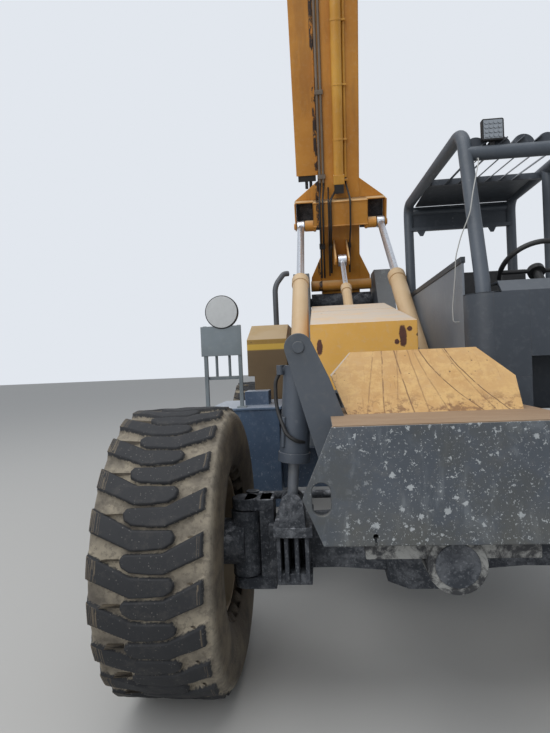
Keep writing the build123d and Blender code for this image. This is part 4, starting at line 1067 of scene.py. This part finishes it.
# Side panel, the front panel with its round corner and ledge, the header at the rear
side_end = CAB_REAR - 30
sill = [(SILL_Y, SILL_Z - 8), (side_end, SILL_Z - 8), (side_end, SILL_Z + 24), (SILL_Y, SILL_Z + 24)]
stands("cab_side_panel", [
    block(CAB_IN, CAB_IN + CAB_SHEET, SILL_Y, side_end, SHELF_TOP, SILL_Z),
    plate_x(sill, CAB_IN - 5, CAB_IN + 20),
], "panel", width=0.002)
outer = [(CAB_IN, SILL_Y)] + arc_points(CORNER_X, SILL_Y, CORNER_R, 185, 265, 12) + [(CORNER_X, CAB_FRONT)]
inner = arc_points(CORNER_X, SILL_Y, CORNER_R - CAB_SHEET, 265, 185, 12) + [(CAB_IN + CAB_SHEET, SILL_Y)]
ledge = [(CAB_FRONT + y, LEDGE_Z + z) for y, z in (
    (0, -1), (60, 59), (160, 59), (160, 47), (66, 47), (12, -1))]
stands("cab_front_panel", [
    plate_z(outer + [(CORNER_X, INSIDE_Y)] + inner, SHELF_TOP, LEDGE_Z),
    block(CORNER_X - 1, ARCH_X + 1, CAB_FRONT, INSIDE_Y, SHELF_TOP, LEDGE_Z),
    block(ARCH_X, CAB_OUT - 8, CAB_FRONT, INSIDE_Y, ARCH_Z, LEDGE_Z),
    plate_x(ledge, CORNER_X + 40, CAB_OUT - 8),
    block(FLOOR_IN, ARCH_X, CAB_FRONT, INSIDE_Y, FLOOR_Z - 40, SHELF_Z + 11),
    plate_z(outer + [(CORNER_X + 41, CAB_FRONT), (CORNER_X + 41, SILL_Y)], LEDGE_Z - 8, LEDGE_Z),
], "cab", width=0.002)
header = [block(REAR_IN, POST_OUT, CAB_REAR - 6, CAB_REAR + 4, 2535, ROOF_Z - 15),
          block(REAR_IN, POST_OUT, CAB_REAR - 40, CAB_REAR, 2512, 2540)]
for x in (395, 960):
    tab = [(x, 2515), (x + 75, 2515), (x + 50, 2468), (x + 25, 2468)]
    header.append(plate_y(tab, CAB_REAR - 36, CAB_REAR - 28))
stands("cab_rear_panel", header, "cab", width=0.002)

# Console and steering wheel
console = [(INSIDE_Y, arch_top), (INSIDE_Y, 1767), (-1180, 1807), (-1100, arch_top)]
stands("dash_console", [plate_x(console, 640, 900)], "cab")
WHEEL_R = 192
hub, foot = Vector((763, -1020, 1915)), Vector((763, -1230, 1700))
lean = (hub - foot).normalized()
side_way, rise = Vector((1, 0, 0)), lean.cross(Vector((1, 0, 0)))
ring = [hub + lean * 12 + (side_way * math.cos(a) + rise * math.sin(a)) * WHEEL_R
        for a in np.linspace(0, 2 * math.pi, 49)]
stands("steering_wheel", [
    tube(ring, 14, 16), rod(foot, hub, 24), rod(hub - lean * 8, hub + lean * 22, 46),
    rod(hub - side_way * WHEEL_R + lean * 10, hub + side_way * WHEEL_R + lean * 10, 12),
    rod(hub, hub + rise * WHEEL_R + lean * 10, 12),
], "vinyl", width=0)

# Work lamp: a square case with a ribbed rim and a glass face of small lenses
LAMP_X, LAMP_Z = 540, BAR_Z + POST_R + 76
case = [(-59, -52), (-52, -59), (52, -59), (59, -52), (59, 52), (52, 59), (-52, 59), (-59, 52)]
stands("work_lamp", [
    plate_y([(LAMP_X + x, LAMP_Z + z) for x, z in case], BAR_Y - 33, BAR_Y - 3),
    plate_y([(LAMP_X + x * 0.82, LAMP_Z + z * 0.82) for x, z in case], BAR_Y - 4, BAR_Y + 18),
    block(LAMP_X - 14, LAMP_X + 14, BAR_Y - 13, BAR_Y + 1, BAR_Z + POST_R - 4, LAMP_Z - 50),
], "black", width=0.003)
lenses = [block(LAMP_X - 50, LAMP_X + 50, BAR_Y - 35, BAR_Y - 33, LAMP_Z - 50, LAMP_Z + 50)]
for row in range(4):
    for column in range(4):
        x, z = LAMP_X - 36 + column * 24, LAMP_Z - 36 + row * 24
        lenses.append(tube([(x, BAR_Y + y, z) for y in (-33, -38, -41)], 10, 12))
dress("lamp_glass", lenses, "lens", "chassis", width=0)


# Tyres, in metres

TYRE_R, GROOVE = 0.640, 0.026
LUG_COUNT = 24
PITCH = 2 * math.pi * TYRE_R / LUG_COUNT
TYRE_WIDEN, TYRE_SHIFT = 1.12, 0.016
# A lug's outline: x from the middle outwards, and the way round the tyre
LUG = [(0.225, 0.104), (0.052, 0.004), (-0.080, 0.001), (-0.094, -0.020), (-0.088, -0.048), (-0.060, -0.068),
       (0.0, -0.0745), (0.058, -0.0755), (0.225, 0.006)]
LUG_END, LUG_ROUND = 0.186, 0.013
# The groove's floor and the wall, from the tread's edge to the bead: x, radius, share of sidewall
TREAD_HALF, CROWN = 0.198, TYRE_R - GROOVE
WALL = [
    (0.2035, CROWN - 0.010, 0.0), (0.207, CROWN - 0.017, 0.2), (0.212, CROWN - 0.028, 0.6),
    (0.217, CROWN - 0.045, 1.0), (0.2195, CROWN - 0.060, 1.0), (0.2205, CROWN - 0.072, 1.0),
    (0.223, 0.500, 1.0), (0.2235, 0.470, 1.0), (0.221, 0.440, 1.0), (0.217, 0.415, 1.0),
    (0.2105, 0.392, 1.0), (0.200, 0.366, 1.0), (0.196, 0.356, 1.0), (0.190, 0.350, 1.0),
    (0.184, 0.338, 1.0), (0.175, 0.326, 1.0), (0.166, 0.3185, 1.0),
]


def inset(points, by):
    """A polygon moved inwards by a distance, its points going round anticlockwise or clockwise."""
    area = sum(a[0] * b[1] - b[0] * a[1] for a, b in zip(points, points[1:] + points[:1]))
    sign = 1 if area > 0 else -1
    out = []
    for k in range(len(points)):
        p, q, r = (Vector(points[i % len(points)]) for i in (k - 1, k, k + 1))
        one = (q - p).normalized()
        two = (r - q).normalized()
        n1 = Vector((-one.y, one.x)) * sign
        n2 = Vector((-two.y, two.x)) * sign
        half = (n1 + n2).normalized()
        out.append(tuple(q + half * (by / max(0.35, half.dot(n1)))))
    return out


def outside(points, x, t):
    """Signed distance from a polygon, below 0 inside it, for arrays of places."""
    best = np.full(x.shape, 1e9)
    sign = np.ones(x.shape)
    for k in range(len(points)):
        ax, at = points[k - 1]
        bx, bt = points[k]
        ex, et = bx - ax, bt - at
        wx, wt = x - ax, t - at
        share = np.clip((wx * ex + wt * et) / (ex * ex + et * et), 0, 1)
        best = np.minimum(best, (wx - ex * share) ** 2 + (wt - et * share) ** 2)
        c1 = t >= at
        c2 = t < bt
        c3 = ex * wt > et * wx
        flip = (c1 & c2 & c3) | (~c1 & ~c2 & ~c3)
        sign = np.where(flip, -sign, sign)
    return sign * np.sqrt(best)


def lug_distance(grid_x, grid_a, outwards):
    """Signed distance from the nearest lug, below 0 on its top."""
    shape = inset(LUG, LUG_ROUND)
    nearest = np.full(grid_x.shape, 1e9)
    for side, shift in ((1, 0.0), (-1, 0.5)):
        t = grid_a * TYRE_R / PITCH + shift
        t = (t - np.floor(t + 0.5)) * PITCH
        for turn in (-1, 0, 1):
            nearest = np.minimum(nearest, outside(shape, side * grid_x, t + turn * PITCH))
    edge = nearest - LUG_ROUND + 0.0006
    return np.maximum(edge, outwards * grid_x - LUG_END)


def tyre_radius(base, edge, grid_x, grid_a):
    """The tyre's radius at each place: the groove's floor with the worn lugs raised on it."""
    mask = np.clip((0.004 - edge) / 0.009, 0, 1)
    mask = mask * mask * (3 - 2 * mask)
    inside = np.clip((0.2045 - np.abs(grid_x)) / 0.004, 0, 1)
    shoulder = np.clip((0.2185 - np.abs(grid_x)) / 0.014, 0, 1)
    crown = TYRE_R - 0.0035 * (np.abs(grid_x) / 0.2) ** 3
    worn = 0.0018 * np.sin(grid_a * 5 + 3 * grid_x / 0.2) + 0.0012 * np.sin(grid_a * 17 + grid_x * 60)
    lifted = base + mask * inside * (crown - 0.002 + worn - base)
    lifted = np.maximum(lifted, base + mask * shoulder * 0.012)
    return np.minimum(lifted, TYRE_R - 0.0005)


def make_tyre(node, steps):
    """A tyre with rounded, worn lugs in place of the CAD one."""
    low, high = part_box(node)
    centre = (low + high) / 2
    outwards = 1 if centre.x < 0 else -1
    centre.x -= outwards * TYRE_SHIFT
    half = [(x, CROWN - 0.004 * (x / 0.19) ** 2, 0.0) for x in np.linspace(0.0, TREAD_HALF, 37)] + WALL
    section = [(-x, r, w) for x, r, w in reversed(half[1:])] + half
    xs, base, wall = (np.array(values) for values in zip(*section))
    grid_x, grid_a = np.meshgrid(xs, np.linspace(0, 2 * math.pi, steps, endpoint=False))
    base = np.broadcast_to(base, grid_x.shape)
    edge = lug_distance(grid_x, grid_a, outwards)
    radius = tyre_radius(base, edge, grid_x, grid_a)
    # Turned so that the upper face's t runs to the rear, and the front face's t runs up
    y = radius * np.sin(grid_a)
    z = radius * np.cos(grid_a)
    places = np.stack([grid_x * TYRE_WIDEN + centre.x, y + centre.y, z + centre.z], -1).reshape(-1, 3)
    wide = len(section)
    faces = []
    for i in range(steps):
        a = i * wide
        b = ((i + 1) % steps) * wide
        for j in range(wide - 1):
            faces.append((a + j, a + j + 1, b + j + 1, b + j))
        faces.append((a + wide - 1, a, b, b + wide - 1))
    data = bpy.data.meshes.new(node + "_look")
    data.from_pydata(places.tolist(), [], faces)
    data.update()
    obj = put(node + "_look", data)
    coated(obj, "tyre")
    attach(obj, frame["nodes"][node]["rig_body"])
    for label, values in (("lug_edge", edge), ("wheel_radius", radius),
                          ("sidewall", np.broadcast_to(wall, grid_x.shape))):
        layer = data.attributes.new(label, "FLOAT", "POINT")
        layer.data.foreach_set("value", np.ascontiguousarray(values, dtype=np.float32).ravel())
    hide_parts(node)


TYRE_STEPS = {"front_right_tyre": 864, "front_left_tyre": 720, "rear_right_tyre": 600, "rear_left_tyre": 600}
for name in frame["nodes"]:
    if name in TYRE_STEPS:
        make_tyre(name, TYRE_STEPS[name])
    elif name not in DRAWN:
        soften(name)


# Lamp cable: a route of given points, down from the cab's cross tube to the panel
CABLE_ROUTE = [
    (0.450, -0.926, 2.633), (0.450, -0.945, 2.610), (0.450, -0.975, 2.570), (0.450, -1.015, 2.541),
    (0.450, -1.055, 2.534), (0.448, -1.098, 2.536), (0.442, -1.130, 2.525), (0.434, -1.155, 2.496),
    (0.420, -1.182, 2.460), (0.403, -1.194, 2.396), (0.386, -1.205, 2.333), (0.376, -1.205, 2.275),
    (0.366, -1.205, 2.217), (0.343, -1.193, 2.158), (0.320, -1.182, 2.100), (0.307, -1.174, 2.050),
    (0.294, -1.166, 2.000), (0.292, -1.160, 1.950), (0.290, -1.155, 1.900), (0.287, -1.148, 1.860),
    (0.284, -1.142, 1.822), (0.281, -1.134, 1.780), (0.278, -1.126, 1.740), (0.278, -1.124, 1.700),
    (0.278, -1.124, 1.672), (0.280, -1.124, 1.656), (0.290, -1.124, 1.653), (0.305, -1.124, 1.653),
    (0.320, -1.124, 1.653),
]
CABLE_RADIUS = 0.003
cable_data = bpy.data.curves.new("lamp_cable_look", "CURVE")
cable_data.dimensions = "3D"
cable_data.bevel_depth = CABLE_RADIUS
cable_data.bevel_resolution = 3
spline = cable_data.splines.new("NURBS")
spline.points.add(len(CABLE_ROUTE) - 1)
for point, (x, y, z) in zip(spline.points, CABLE_ROUTE):
    point.co = (x, y + MID_Y, z, 1.0)
spline.order_u = 3
spline.use_endpoint_u = True
spline.resolution_u = 6
cable = put("lamp_cable_look", cable_data)
cable_data.materials.append(MATERIALS["cable"])
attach(cable, "chassis")


# Stage: floor, sky and two soft lamps
FLOOR = 60
floor_data = bpy.data.meshes.new("floor")
floor_corners = [(-FLOOR, -FLOOR, 0), (FLOOR, -FLOOR, 0), (FLOOR, FLOOR, 0), (-FLOOR, FLOOR, 0)]
floor_data.from_pydata(floor_corners, [], [(0, 1, 2, 3)])
floor = put("floor", floor_data)
floor_shader = Shader("floor")
floor_shader.colour = (176, 175, 172)
floor_data.materials.append(floor_shader.finish(0.9))

world = bpy.data.worlds.new("sky")
bpy.context.scene.world = world
world.use_nodes = True
sky = world.node_tree
background = sky.nodes["Background"]
background.inputs[0].default_value = (*rgb(226, 231, 238), 1)
# Full strength where the camera sees the sky, three quarters of it as light
seen = sky.nodes.new("ShaderNodeLightPath")
strength = sky.nodes.new("ShaderNodeMath")
strength.operation = "MULTIPLY_ADD"
strength.inputs[1].default_value = 0.25
strength.inputs[2].default_value = 0.75
sky.links.new(seen.outputs["Is Camera Ray"], strength.inputs[0])
sky.links.new(strength.outputs[0], background.inputs[1])


def soft_light(name, place, target, size, power):
    data = bpy.data.lights.new(name, "AREA")
    data.size = size
    data.energy = power
    lamp = put(name, data)
    lamp.location = place
    lamp.rotation_euler = (Vector(target) - Vector(place)).to_track_quat("-Z", "Y").to_euler()


soft_light("overhead", (-2, -3, 12), (0, 0, 1), 10, 700)
soft_light("front", (-5, -9, 6), (0, 0, 1.5), 8, 350)

# Camera, from the vanishing point, the tyre's size and the horizon
WIDTH, FOCAL, SENSOR = 550, 520.0, 36.0
VANISHING_X, HORIZON_UP, TILT = 320, 4.5, 0.043
eye = Vector((-0.45, MID_Y - 4.015, 1.48))
yaw = math.atan((VANISHING_X - WIDTH / 2) / FOCAL)
pitch = -math.atan(HORIZON_UP / FOCAL)
roll = math.atan(TILT)
forward = Vector((-math.sin(yaw) * math.cos(pitch), math.cos(yaw) * math.cos(pitch), math.sin(pitch)))
level = forward.cross(Vector((0, 0, 1))).normalized()
upright = level.cross(forward)
right = level * math.cos(roll) - upright * math.sin(roll)
up = upright * math.cos(roll) + level * math.sin(roll)
camera_data = bpy.data.cameras.new("camera")
camera_data.sensor_fit = "HORIZONTAL"
camera_data.sensor_width = SENSOR
camera_data.lens = FOCAL / WIDTH * SENSOR
camera_data.clip_end = 200
camera = put("camera", camera_data)
turn = Matrix((right, up, -forward)).transposed()
camera.matrix_world = Matrix.Translation(eye) @ turn.to_4x4()
bpy.context.scene.camera = camera
bpy.context.scene.view_settings.view_transform = "Standard"
